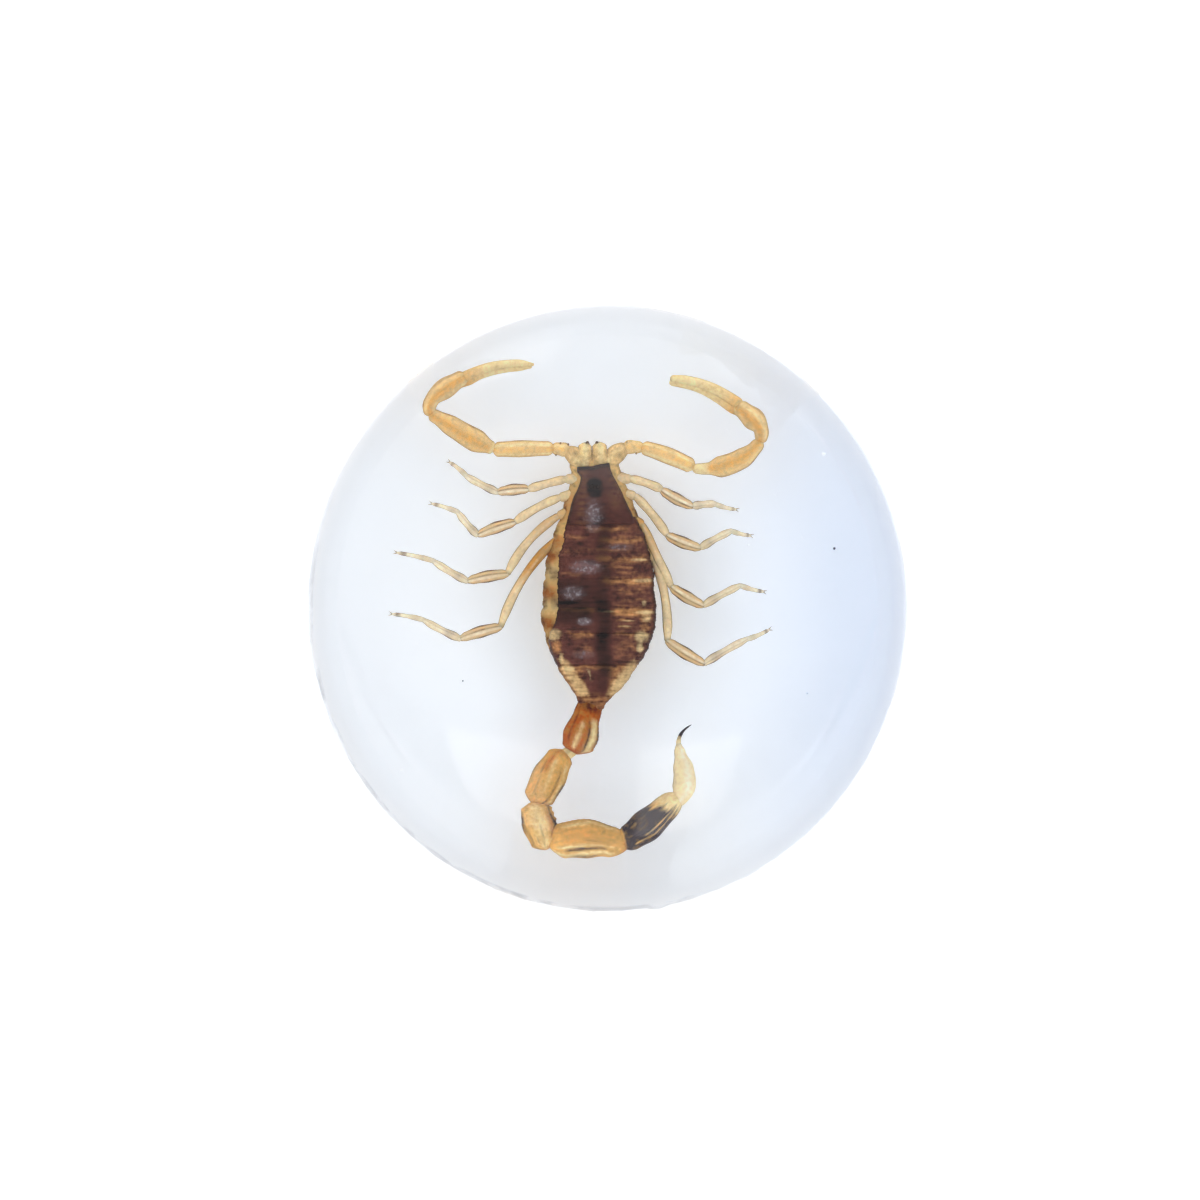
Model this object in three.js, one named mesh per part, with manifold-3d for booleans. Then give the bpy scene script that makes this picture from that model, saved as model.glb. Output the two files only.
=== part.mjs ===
// A small golden scorpion cast in a clear resin dome: a round, flat-backed block with a domed top,
// and one dried specimen sealed inside it. Millimetres, +Z up, +Y towards the scorpion's head,
// and the origin in the middle of the flat back. The resin was poured in two layers, with the
// specimen laid on the first, so it is two pieces that meet at the height of the specimen.
import * as THREE from "three";
import { mergeVertices } from "three/addons/utils/BufferGeometryUtils.js";
import Module from "manifold-3d";

const wasm = await Module();
wasm.setup();

// ---- Driving dimensions of the resin dome ------------------------------------------------------
const DOME_RADIUS = 22.5;
const OUT_OF_ROUND = 1.012; // the block is a little longer along Y than along X
const WALL_HEIGHT = 2.0; // upright wall above the flat back
const BACK_BEVEL = 0.3; // broken edge around the flat back
const CAP_EDGE = 0.818 * DOME_RADIUS; // where the shallow cap turns into the shoulder
const CAP_SPHERE = 40; // radius of the sphere that the cap belongs to
const SHOULDER_SLOPE = THREE.MathUtils.degToRad(34); // of the shoulder where it leaves the cap
const DOME_SIDES = 60;
const SHOULDER_STEPS = 6;
const CAP_STEPS = 5;

// ---- Driving dimensions of the specimen --------------------------------------------------------
const POUR_LINE = 4.8; // height of the seam between the two layers of resin
const BODY_HEIGHT = 5.3; // height of the body's axis above the flat back
const POCKET_GAP = 0.3; // all around the specimen
const BODY_FLATNESS = 0.46; // height over width of the plates
const SHIELD_FLATNESS = 0.62;
const LIMB_FLATNESS = 0.85;
const JOINT_OVERLAP = 0.25; // how far each segment reaches into its neighbour
const TRUNK_SIDES = 12;
const LIMB_SIDES = 6;

// ---- Materials ---------------------------------------------------------------------------------
const clearResin = new THREE.MeshStandardMaterial({
  name: "clear_resin",
  color: 0xe9eef8,
  roughness: 0.04,
  metalness: 0,
  transparent: true,
  opacity: 0.35,
});
const driedScorpion = new THREE.MeshStandardMaterial({
  name: "dried_scorpion",
  color: 0x8a5a34,
  roughness: 0.45,
  metalness: 0,
});

// ---- Solids ------------------------------------------------------------------------------------

/** Turns a closed geometry into a solid that can be joined and cut. */
function solidOf(geometry) {
  geometry.deleteAttribute("normal");
  geometry.deleteAttribute("uv");
  const merged = mergeVertices(geometry, 1e-4);
  const index = merged.index.array;
  const triangles = [];
  for (let i = 0; i < index.length; i += 3) {
    const [a, b, c] = index.slice(i, i + 3);
    if (a !== b && b !== c && c !== a) triangles.push(a, b, c); // a lathe's poles leave flat ones
  }
  return new wasm.Manifold(
    new wasm.Mesh({
      numProp: 3,
      vertProperties: merged.getAttribute("position").array,
      triVerts: new Uint32Array(triangles),
    }),
  );
}

/** Joins a list of solids into one. */
function joined(solids) {
  return solids.reduce((whole, next) => whole.add(next));
}

/** The largest body of a solid, without the crumbs that a cut can leave beside it. */
function largestOf(solid) {
  return solid.decompose().reduce((best, body) => (body.volume() > best.volume() ? body : best));
}

/** A named mesh of a solid, in its material. */
function meshOf(name, solid, material) {
  const { vertProperties, triVerts } = solid.getMesh();
  const geometry = new THREE.BufferGeometry();
  geometry.setAttribute("position", new THREE.BufferAttribute(vertProperties, 3));
  geometry.setIndex(new THREE.BufferAttribute(triVerts, 1));
  geometry.computeVertexNormals();
  const mesh = new THREE.Mesh(geometry, material);
  mesh.name = name;
  return mesh;
}

// ---- The dome ----------------------------------------------------------------------------------

const SHOULDER_RADIUS = (DOME_RADIUS - CAP_EDGE) / (1 - Math.sin(SHOULDER_SLOPE));
const SHOULDER_TOP = WALL_HEIGHT + SHOULDER_RADIUS * Math.cos(SHOULDER_SLOPE);
const CAP_CENTRE = SHOULDER_TOP - Math.sqrt(CAP_SPHERE ** 2 - CAP_EDGE ** 2);

/** The dome's outline from the middle of its back to its top: wall, round shoulder, shallow cap. */
function domeProfile() {
  const outline = [
    new THREE.Vector2(0, 0),
    new THREE.Vector2(DOME_RADIUS - BACK_BEVEL, 0),
    new THREE.Vector2(DOME_RADIUS, BACK_BEVEL),
  ];
  for (let i = 0; i <= SHOULDER_STEPS; i++) {
    const slope = THREE.MathUtils.lerp(Math.PI / 2, SHOULDER_SLOPE, i / SHOULDER_STEPS);
    outline.push(
      new THREE.Vector2(
        CAP_EDGE + SHOULDER_RADIUS * (Math.sin(slope) - Math.sin(SHOULDER_SLOPE)),
        WALL_HEIGHT + SHOULDER_RADIUS * Math.cos(slope),
      ),
    );
  }
  for (let i = CAP_STEPS - 1; i >= 0; i--) {
    const radius = (CAP_EDGE * i) / CAP_STEPS;
    outline.push(new THREE.Vector2(radius, CAP_CENTRE + Math.sqrt(CAP_SPHERE ** 2 - radius ** 2)));
  }
  return outline;
}

function resinDome() {
  const lathe = new THREE.LatheGeometry(domeProfile(), DOME_SIDES);
  lathe.rotateX(Math.PI / 2); // the lathe turns about Y, and the dome stands along Z
  lathe.scale(1, OUT_OF_ROUND, 1);
  return solidOf(lathe);
}

/** A slab wider than the dome, between two heights. */
function slab(low, high) {
  const box = new THREE.BoxGeometry(3 * DOME_RADIUS, 3 * DOME_RADIUS, high - low);
  box.translate(0, 0, (low + high) / 2);
  return solidOf(box);
}

// ---- The scorpion ------------------------------------------------------------------------------

const UP = new THREE.Vector3(0, 0, 1);

/** The widest half-width in a girth. */
function widest(girth) {
  return Math.max(...girth.map(([, half]) => half));
}

/** Turns the lathe's frame so that its axis runs along a direction, and moves it to a place. */
function aimed(lathe, start, along) {
  const across = new THREE.Vector3().crossVectors(along, UP).normalize();
  const upward = new THREE.Vector3().crossVectors(across, along);
  lathe.applyMatrix4(new THREE.Matrix4().makeBasis(across, along, upward));
  return lathe.translate(start.x, start.y, start.z);
}

/**
 * One segment of the animal: a closed spindle from one joint to the next. `girth` lists pairs of
 * share along the segment and half-width there, and `flatness` is its height over its width. With
 * `grow` it becomes the space around that segment, wider by `grow` on every side: a plain sleeve,
 * or a copy of the segment's own form where it is `snug`.
 */
function segment(from, to, girth, shape = {}) {
  const { flatness = LIMB_FLATNESS, sides = LIMB_SIDES, grow = 0, snug = false } = shape;
  const start = new THREE.Vector3(...from);
  const along = new THREE.Vector3(...to).sub(start);
  const length = along.length();
  const reach = JOINT_OVERLAP + grow;
  const half = widest(girth);
  const rings = grow && !snug ? [[0, half], [1, half]] : girth;
  const lathe = new THREE.LatheGeometry(
    [
      new THREE.Vector2(0, -reach),
      ...rings.map(([share, radius]) => new THREE.Vector2(radius + grow, share * length)),
      new THREE.Vector2(0, length + reach),
    ],
    sides,
  );
  lathe.scale(1, 1, (flatness * half + grow) / (half + grow));
  return solidOf(aimed(lathe, start, along.normalize()));
}

/**
 * A slim limb in one piece: a lathe of all its girths, one after the other, bent to follow its
 * joints. Near a joint the rings turn towards the half-way direction of the bend, as in a mitre.
 */
function bentLimb(joints, girths, grow = 0) {
  const points = joints.map((joint) => new THREE.Vector3(...joint));
  const spans = points.slice(1).map((point, i) => point.clone().sub(points[i]));
  const lengths = spans.map((span) => span.length());
  const starts = lengths.map((_, i) => lengths.slice(0, i).reduce((sum, one) => sum + one, 0));
  const ways = spans.map((span) => span.clone().normalize());
  const total = starts.at(-1) + lengths.at(-1);
  const rings = girths.flatMap((girth, i) => {
    const sleeve = [[0, widest(girth)], ...(i === girths.length - 1 ? [[1, widest(girth)]] : [])];
    return (grow ? sleeve : girth).map(([share, half]) => new THREE.Vector2(half + grow, starts[i] + share * lengths[i]));
  });
  const lathe = new THREE.LatheGeometry(
    [new THREE.Vector2(0, -grow), ...rings, new THREE.Vector2(0, total + grow)],
    LIMB_SIDES,
  );
  const place = lathe.getAttribute("position");
  for (let v = 0; v < place.count; v++) {
    const station = place.getY(v);
    const i = Math.max(0, starts.findLastIndex((begin) => begin <= station));
    const share = (station - starts[i]) / lengths[i];
    const neighbour = ways[i + (share < 0.5 ? -1 : 1)] ?? ways[i];
    const bend = 0.5 * Math.abs(2 * THREE.MathUtils.clamp(share, 0, 1) - 1) ** 2;
    const along = ways[i].clone().lerp(neighbour, bend).normalize();
    const across = new THREE.Vector3().crossVectors(along, UP).normalize();
    const upward = new THREE.Vector3().crossVectors(across, along);
    const moved = points[i].clone().addScaledVector(ways[i], station - starts[i]);
    moved.addScaledVector(across, place.getX(v));
    moved.addScaledVector(upward, place.getZ(v) * LIMB_FLATNESS);
    place.setXYZ(v, moved.x, moved.y, moved.z);
  }
  return solidOf(lathe);
}

// The trunk: the front shield, then seven plates that each overlap the next. Half-widths in mm.
const SHIELD = { from: [-1.05, 10.2, 5.35], to: [-0.5, 5.8, 5.35] };
const SHIELD_GIRTH = [
  [0.03, 0.95],
  [0.22, 1.2],
  [0.6, 1.8],
  [0.97, 2.3],
];
const PLATES = { from: [-0.5, 6.4, BODY_HEIGHT], to: [-1.0, -7.0, BODY_HEIGHT] };
const PLATE_EDGES = [0.02, 0.11, 0.21, 0.32, 0.47, 0.605, 0.77, 0.98]; // shares along the plates
const PLATE_HALF_WIDTHS = [2.3, 3.0, 3.55, 3.8, 3.95, 3.65, 2.75, 0.95]; // at those edges
const PLATE_STEP = 0.12; // how far each plate's hind edge stands over the next plate
const PLATE_STEP_LENGTH = 0.012; // share of the plates that the step takes

/** The girth of the seven plates: each ends in an edge that stands over the start of the next. */
function plateGirth() {
  const last = PLATE_EDGES.length - 1;
  return PLATE_EDGES.flatMap((share, i) => {
    const half = PLATE_HALF_WIDTHS[i];
    const edge = [share, half + PLATE_STEP];
    return i % last === 0 ? [[share, half]] : [edge, [share + PLATE_STEP_LENGTH, half - PLATE_STEP]];
  });
}

function trunk(grow) {
  const shape = { sides: TRUNK_SIDES, grow, snug: true };
  return [
    segment(SHIELD.from, SHIELD.to, SHIELD_GIRTH, { ...shape, flatness: SHIELD_FLATNESS }),
    segment(PLATES.from, PLATES.to, plateGirth(), { ...shape, flatness: BODY_FLATNESS }),
  ];
}

// The two short jaws that stick out in front of the shield.
function jaws(grow) {
  const girth = [
    [0.1, 0.62],
    [0.6, 0.68],
    [0.9, 0.35],
  ];
  return [
    segment([-1.8, 9.7, 5.3], [-1.3, 11.9, 5.2], girth, { grow }),
    segment([-0.3, 9.7, 5.3], [0.1, 11.9, 5.2], girth, { grow }),
  ];
}

// A leg's segments between its joints, hip first, as pairs of share and half-width.
const LEG_GIRTHS = [
  [[0.1, 0.42], [0.85, 0.36]], // hip
  [[0.08, 0.32], [0.5, 0.42], [0.95, 0.3]], // thigh
  [[0.06, 0.28], [0.4, 0.42], [0.93, 0.26]], // shin
  [[0.08, 0.24], [0.92, 0.2]], // upper foot
  [[0.06, 0.2], [0.75, 0.16], [0.97, 0.08]], // foot with its claws
];
const LEGS = [
  [[-1.3, 9.0, 4.9], [-2.9, 9.0, 5.0], [-5.5, 8.3, 5.1], [-7.6, 8.1, 4.8], [-9.9, 9.3, 4.4], [-11.0, 10.2, 4.1]],
  [[-1.4, 8.1, 4.9], [-3.3, 7.7, 5.0], [-6.4, 6.0, 5.1], [-9.0, 5.1, 4.8], [-10.4, 6.7, 4.4], [-12.2, 7.3, 4.1]],
  [[-1.4, 7.2, 4.9], [-3.4, 6.4, 5.0], [-6.9, 2.4, 5.1], [-9.7, 1.9, 4.8], [-12.1, 3.3, 4.4], [-14.7, 3.9, 4.1]],
  [[-1.4, 6.3, 4.9], [-3.6, 4.7, 5.0], [-7.4, -1.3, 5.1], [-10.2, -2.1, 4.8], [-12.8, -0.8, 4.4], [-15.0, -0.4, 4.1]],
  [[-0.4, 9.0, 4.9], [1.6, 9.0, 5.0], [6.0, 7.2, 5.1], [7.2, 7.2, 4.8], [8.1, 7.3, 4.4], [8.8, 6.9, 4.1]],
  [[-0.3, 8.1, 4.9], [1.9, 7.8, 5.0], [4.1, 5.1, 5.1], [6.4, 4.2, 4.8], [8.6, 5.4, 4.4], [9.8, 5.1, 4.1]],
  [[-0.2, 7.2, 4.9], [2.4, 5.8, 5.0], [4.4, 1.5, 5.1], [6.6, 0.2, 4.8], [9.2, 1.6, 4.4], [10.7, 1.2, 4.1]],
  [[-0.1, 6.3, 4.9], [3.2, 3.4, 5.0], [4.1, -2.2, 5.1], [6.7, -3.8, 4.8], [9.7, -2.1, 4.4], [11.1, -1.5, 4.1]],
];

function legs(grow) {
  return LEGS.map((joints) => bentLimb(joints, LEG_GIRTHS, grow));
}

// The pincer arms, shoulder to fingertip. A finger's share of the arm has its own short girth.
const ARM_GIRTHS = [
  [[0.1, 0.5], [0.85, 0.4]], // shoulder
  [[0.05, 0.38], [0.5, 0.55], [0.95, 0.42]], // upper arm
  [[0.04, 0.35], [0.35, 0.75], [0.8, 0.68], [0.97, 0.4]], // forearm
  [[0.02, 0.42], [0.45, 0.82], [0.95, 0.6]], // palm
];
const FIXED_FINGER_GIRTH = [[0.05, 0.42], [0.5, 0.3], [0.95, 0.12]];
const FREE_FINGER_GIRTH = [[0.05, 0.38], [0.5, 0.27], [0.95, 0.1]];
const ARMS = [
  {
    joints: [[-1.5, 10.3, 5.1], [-3.7, 11.2, 5.1], [-7.9, 11.2, 5.2], [-12.6, 13.9, 5.1], [-9.9, 16.2, 5.1]],
    fixedFinger: [[-10.3, 16.2, 5.2], [-7.6, 17.3, 5.2], [-5.2, 17.3, 5.1]],
    freeFinger: [[-10.0, 15.7, 5.0], [-7.6, 16.8, 5.0], [-5.4, 17.2, 5.0]],
  },
  {
    joints: [[-0.6, 10.3, 5.1], [2.3, 11.3, 5.1], [5.9, 9.9, 5.2], [10.9, 11.8, 5.1], [9.1, 14.3, 5.1]],
    fixedFinger: [[9.4, 14.3, 5.2], [6.8, 15.9, 5.2], [4.4, 16.3, 5.1]],
    freeFinger: [[9.0, 13.9, 5.0], [6.6, 15.5, 5.0], [4.4, 16.0, 5.0]],
  },
];

/** A finger of two straight parts that bends once on its way to the tip. */
function finger(joints, girth, grow) {
  const root = girth.map(([share, half]) => [share, half]);
  const tip = girth.map(([share, half]) => [share, 0.8 * half]);
  return [segment(joints[0], joints[1], root, { grow }), segment(joints[1], joints[2], tip, { grow })];
}

function arms(grow) {
  return ARMS.flatMap(({ joints, fixedFinger, freeFinger }) => [
    ...ARM_GIRTHS.map((girth, i) => segment(joints[i], joints[i + 1], girth, { grow })),
    ...finger(fixedFinger, FIXED_FINGER_GIRTH, grow),
    ...finger(freeFinger, FREE_FINGER_GIRTH, grow),
  ]);
}

// The tail: five segments that curl round, the pale sting bulb and its dark hooked needle.
const TAIL = [
  { from: [-1.1, -6.2, 5.2], to: [-2.5, -10.1, 5.1], girth: [[0.1, 0.85], [0.5, 1.05], [0.93, 0.9]] },
  { from: [-2.6, -10.0, 5.1], to: [-5.2, -13.8, 5.1], girth: [[0.07, 0.75], [0.5, 1.2], [0.93, 1.0]] },
  { from: [-5.1, -13.5, 5.1], to: [-4.1, -17.0, 5.1], girth: [[0.07, 0.95], [0.4, 1.25], [0.93, 0.85]] },
  { from: [-4.4, -16.5, 5.1], to: [1.3, -16.6, 5.1], girth: [[0.07, 0.9], [0.5, 1.45], [0.93, 0.9]] },
  { from: [1.0, -16.5, 5.1], to: [4.9, -13.1, 5.1], girth: [[0.06, 0.9], [0.5, 1.15], [0.94, 0.85]] },
  { from: [4.9, -13.4, 5.1], to: [5.1, -9.4, 5.1], girth: [[0.08, 0.6], [0.35, 0.98], [0.7, 0.72], [0.95, 0.28]] },
];
const NEEDLE = [[5.1, -9.9, 5.1], [5.1, -8.9, 5.1], [5.8, -8.1, 5.1]];
const NEEDLE_GIRTH = [[0.1, 0.3], [0.9, 0.17]];
const NEEDLE_TIP_GIRTH = [[0.05, 0.2], [0.6, 0.1]];

function tail(grow) {
  return [
    ...TAIL.map(({ from, to, girth }) => segment(from, to, girth, { grow, sides: 8 })),
    segment(NEEDLE[0], NEEDLE[1], NEEDLE_GIRTH, { grow }),
    segment(NEEDLE[1], NEEDLE[2], NEEDLE_TIP_GIRTH, { grow }),
  ];
}

/** The whole animal in one solid, swelled by `grow` on every side. */
function scorpion(grow = 0) {
  return joined([...trunk(grow), ...jaws(grow), ...legs(grow), ...arms(grow), ...tail(grow)]);
}

// ---- The block ---------------------------------------------------------------------------------

const hollowDome = resinDome().subtract(scorpion(POCKET_GAP));
const TOP = CAP_CENTRE + CAP_SPHERE;

const block = new THREE.Group();
block.name = "scorpion_in_resin";
block.add(
  meshOf("resin_lower", largestOf(hollowDome.intersect(slab(-1, POUR_LINE))), clearResin),
  meshOf("resin_upper", largestOf(hollowDome.intersect(slab(POUR_LINE, TOP + 1))), clearResin),
  meshOf("scorpion", scorpion(), driedScorpion),
);

export default block;
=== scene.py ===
# %% [markdown]
# # A scorpion cast in a clear resin dome
# The real thing is a small dried scorpion sealed in a round, flat-backed dome of clear resin.
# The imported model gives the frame: the dome in two halves and the scorpion as one faceted solid.
# This script dresses that frame with fine surfaces. Every measure below is in millimetres, and
# the meshes are scaled to metres when they are made.

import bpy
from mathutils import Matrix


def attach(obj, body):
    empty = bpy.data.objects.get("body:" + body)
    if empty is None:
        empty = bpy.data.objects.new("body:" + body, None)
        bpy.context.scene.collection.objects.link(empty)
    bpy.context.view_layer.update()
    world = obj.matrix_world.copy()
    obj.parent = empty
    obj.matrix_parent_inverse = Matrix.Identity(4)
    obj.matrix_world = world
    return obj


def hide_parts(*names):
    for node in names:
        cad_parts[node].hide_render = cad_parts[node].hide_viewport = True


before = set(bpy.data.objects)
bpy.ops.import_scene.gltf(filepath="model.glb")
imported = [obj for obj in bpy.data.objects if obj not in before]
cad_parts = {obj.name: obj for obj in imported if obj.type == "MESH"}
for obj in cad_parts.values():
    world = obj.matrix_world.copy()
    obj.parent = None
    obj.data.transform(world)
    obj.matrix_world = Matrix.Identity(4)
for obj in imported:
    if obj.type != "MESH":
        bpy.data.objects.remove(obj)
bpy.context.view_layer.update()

import math

import bpy
import numpy as np

MM = 0.001
UP = np.array([0.0, 0.0, 1.0])

# %% [markdown]
# ## Small helpers for shapes
# Most of an animal can be made from closed tubes: a path, a half-width and a half-height along
# it, and a ring of points round each place. Modelling each limb by hand with extrusions would
# also work, but a formula keeps the joints where the frame has them. First come the curves that
# the tubes are made from: an eased step, a soft spot, and a line through a few points.

# %% Curves
def step(low, high, value):
    """0 below low, 1 above high, and between them 3s^2 - 2s^3 of the share s of the way."""
    share = np.clip((value - low) / (high - low), 0, 1)
    return share * share * (3 - 2 * share)


def spot(value, centre, width):
    """A bell: 1 at the centre, falling as e to the minus square of the distance in widths."""
    return np.exp(-(((value - centre) / width) ** 2))


def eased(share, stops):
    """The value at each share of the length. It eases from stop to stop, level at each one."""
    places, values = np.array(stops, float).T
    at = np.clip(np.searchsorted(places, share, side="right") - 1, 0, len(places) - 2)
    part = step(places[at], places[at + 1], share)
    return values[at] + (values[at + 1] - values[at]) * part


def through(points, share):
    """Lagrange's curve: the one polynomial that passes the points at equal shares from 0 to 1."""
    points = np.array(points, float)
    knots = np.linspace(0, 1, len(points))
    path = np.zeros((len(share), 3))
    for i, point in enumerate(points):
        others = np.delete(knots, i)
        weight = np.prod((share[:, None] - others) / (knots[i] - others), axis=1)
        path += weight[:, None] * point
    return path


def ends_round(share, first, last):
    """1 along the middle, falling as a circle does over the first and the last share."""
    head = np.clip(share / first, 0.03, 1)
    foot = np.clip((1 - share) / last, 0.03, 1)
    return np.sqrt(1 - (1 - head) ** 2) * np.sqrt(1 - (1 - foot) ** 2)


# %% [markdown]
# ## A closed tube
# One grid of rings and sides, closed by a point at either end. Along with the points it keeps
# four marks for each point, numbers from 0 to 1 that say how dark, warm, pale or frosted the
# skin is there; the frost also carries painted glints. The material reads them as attributes,
# so a pattern follows the surface.

# %% Tube
MARKS = ("dark", "warm", "pale", "frost_and_glint")


def tube(path, wide, tall, sides=24, deep=None, relief=None, marks=None, square=2.0, facing=None):
    """A closed tube as (points, quads, triangles, marks).

    A ring's point is path + wide c right + tall s over, where c and s are the cosine and sine of
    the turn, each raised to the power 2 / square, so that square over 2 makes a boxier section.
    Deep is the half-height below the path. Relief adds a share to the radius. The rings stand
    square to the path, or to the one direction that facing gives."""
    deep = tall if deep is None else deep
    ahead = np.gradient(path, axis=0) if facing is None else np.tile(facing, (len(path), 1))
    ahead /= np.linalg.norm(ahead, axis=1, keepdims=True)
    right = np.cross(ahead, UP)
    right /= np.linalg.norm(right, axis=1, keepdims=True)
    over = np.cross(right, ahead)
    gone = np.r_[0, np.cumsum(np.linalg.norm(np.diff(path, axis=0), axis=1))]
    share = (gone / gone[-1])[:, None]
    turn = (np.arange(sides) / sides * 2 * np.pi)[None, :]
    across = np.sign(np.cos(turn)) * np.abs(np.cos(turn)) ** (2 / square)
    above = np.sign(np.sin(turn)) * np.abs(np.sin(turn)) ** (2 / square)
    swell = np.ones((len(path), sides))
    if relief:
        swell = swell + relief(share, turn)
    high = np.where(above > 0, tall[:, None], deep[:, None])
    rings = path[:, None] + (wide[:, None] * across * swell)[..., None] * right[:, None]
    rings = rings + (high * above * swell)[..., None] * over[:, None]
    made = {}
    if marks:
        found = marks(share, across, above, rings[..., 0], rings[..., 1])
        for name, value in found.items():
            value = np.clip(np.broadcast_to(value, swell.shape), 0, 1)
            made[name] = np.r_[value.ravel(), value[0].mean(), value[-1].mean()]
    points = np.concatenate([rings.reshape(-1, 3), path[:1], path[-1:]])
    return points, *grid_faces(len(path), sides), made


def grid_faces(count, sides):
    """Quads between rings, and fans of triangles at both ends, all wound to face outwards."""
    i, j = np.meshgrid(np.arange(count - 1), np.arange(sides), indexing="ij")
    k = (j + 1) % sides
    quads = np.stack([i * sides + j, (i + 1) * sides + j, (i + 1) * sides + k, i * sides + k], -1)
    j = np.arange(sides)
    k = (j + 1) % sides
    last = (count - 1) * sides
    first_fan = np.stack([np.full(sides, count * sides), j, k], -1)
    last_fan = np.stack([np.full(sides, count * sides + 1), last + k, last + j], -1)
    return quads.reshape(-1, 4), np.concatenate([first_fan, last_fan])


def limb(points, stops, flat=0.85, rings=30, sides=20, **more):
    """A limb section: a tube on the curve through the points, with rounded ends.

    A ring's share of the length is a half less half the cosine of its turn in half a circle, so
    the rings stand closer together near both ends."""
    points = np.array(points, float)
    share = 0.5 - 0.5 * np.cos(np.pi * np.linspace(0, 1, rings))
    length = np.linalg.norm(np.diff(points, axis=0), axis=1).sum()
    wide = eased(share, stops)
    wide = wide * ends_round(share, 0.9 * stops[0][1] / length, 0.9 * stops[-1][1] / length)
    return tube(through(points, share), wide, wide * flat, sides, **more)


# %% [markdown]
# ## From arrays to a piece
# Blender takes whole arrays through foreach_set, which is fast and keeps the code free of loops
# over points. Each piece rides on the one body, root, and says which node it stands for.

# %% Make a piece
def piece(name, shapes, material, nodes=("scorpion",)):
    """Joins closed shapes into one smooth mesh object, with the four marks as attributes."""
    points, corners, sizes = [], [], []
    marks = {mark: [] for mark in MARKS}
    base = 0
    for spots, quads, triangles, made in shapes:
        points.append(spots)
        corners += [(quads + base).ravel(), (triangles + base).ravel()]
        sizes += [np.full(len(quads), 4), np.full(len(triangles), 3)]
        for mark in MARKS:
            marks[mark].append(made.get(mark, np.zeros(len(spots))))
        base += len(spots)
    points, corners, sizes = map(np.concatenate, (points, corners, sizes))
    mesh = bpy.data.meshes.new(name)
    mesh.vertices.add(len(points))
    mesh.vertices.foreach_set("co", (points * MM).ravel())
    mesh.loops.add(len(corners))
    mesh.loops.foreach_set("vertex_index", corners.astype(np.int32))
    mesh.polygons.add(len(sizes))
    starts = np.r_[0, np.cumsum(sizes)[:-1]].astype(np.int32)
    mesh.polygons.foreach_set("loop_start", starts)
    mesh.update(calc_edges=True)
    mesh.validate()
    mesh.shade_smooth()
    for mark in MARKS:
        layer = mesh.attributes.new(mark, "FLOAT", "POINT")
        layer.data.foreach_set("value", np.concatenate(marks[mark]).astype(np.float32))
    made = bpy.data.objects.new(name, mesh)
    bpy.context.scene.collection.objects.link(made)
    mesh.materials.append(material)
    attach(made, "root")
    if nodes:
        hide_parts(*nodes)
    print(f"{name}: {len(points)} points, {len(sizes)} faces")
    return made


# %% [markdown]
# ## Helpers for materials
# Node trees are clearer when each node is made in one line. A colour is written as on a paint
# chart and turned into the linear numbers that Blender works with.

# %% Node helpers
def chart(code):
    """A colour such as E0A860 as linear red, green, blue and 1: each part to the power 2.2 or so."""
    parts = [int(code[i : i + 2], 16) / 255 for i in (0, 2, 4)]
    return [p / 12.92 if p < 0.04 else ((p + 0.055) / 1.055) ** 2.4 for p in parts] + [1]


def node(tree, kind, settings=None, **inputs):
    """A node of a kind, with its settings, and its inputs set or linked by name or number."""
    made = tree.nodes.new(kind)
    for key, value in (settings or {}).items():
        setattr(made, key, value)
    for key, value in inputs.items():
        by_number = key[0] == "i" and key[1:].isdigit()
        socket = made.inputs[int(key[1:]) if by_number else key.replace("_", " ")]
        if isinstance(value, bpy.types.NodeSocket):
            tree.links.new(value, socket)
        else:
            socket.default_value = value
    return made


def calc(tree, operation, first, second=0.0):
    """One operation on two numbers."""
    return node(tree, "ShaderNodeMath", {"operation": operation}, i0=first, i1=second).outputs[0]


def plus(tree, first, *others):
    """The sum of two or more numbers."""
    for other in others:
        first = calc(tree, "ADD", first, other)
    return first


def times(tree, first, *others):
    """The product of two or more numbers."""
    for other in others:
        first = calc(tree, "MULTIPLY", first, other)
    return first


def blend(tree, share, first, second):
    """The first colour where the share is 0, and the second where it is 1."""
    settings = {"data_type": "RGBA"}
    return node(tree, "ShaderNodeMix", settings, i0=share, i6=first, i7=second).outputs[2]


def ramp(tree, value, low, high):
    """0 below low, 1 above high, eased between."""
    settings = {"interpolation_type": "SMOOTHSTEP"}
    return node(tree, "ShaderNodeMapRange", settings, i0=value, i1=low, i2=high).outputs[0]


def reach_ramp(tree, value, low, high):
    """The same ramp for a length, with both ends in millimetres."""
    return ramp(tree, value, low * MM, high * MM)


def noise(tree, place, scale, detail=4.0):
    """Soft noise round one half. The scale is in waves for each metre."""
    return node(tree, "ShaderNodeTexNoise", Vector=place, Scale=scale, Detail=detail).outputs[0]


def own_place(tree):
    """The place on the object itself, in metres."""
    return tree.nodes.new("ShaderNodeTexCoord").outputs["Object"]


def painted(tree, mark):
    """One of the four marks that the surface carries."""
    return node(tree, "ShaderNodeAttribute", {"attribute_name": mark}).outputs["Fac"]


def new_group(name, inputs, outputs):
    """An empty node group with its named inputs and outputs."""
    group = bpy.data.node_groups.new(name, "ShaderNodeTree")
    for way, sockets in (("INPUT", inputs), ("OUTPUT", outputs)):
        for title, kind in sockets.items():
            group.interface.new_socket(title, in_out=way, socket_type="NodeSocket" + kind)
    return group, group.nodes.new("NodeGroupInput").outputs, group.nodes.new("NodeGroupOutput")


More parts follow.
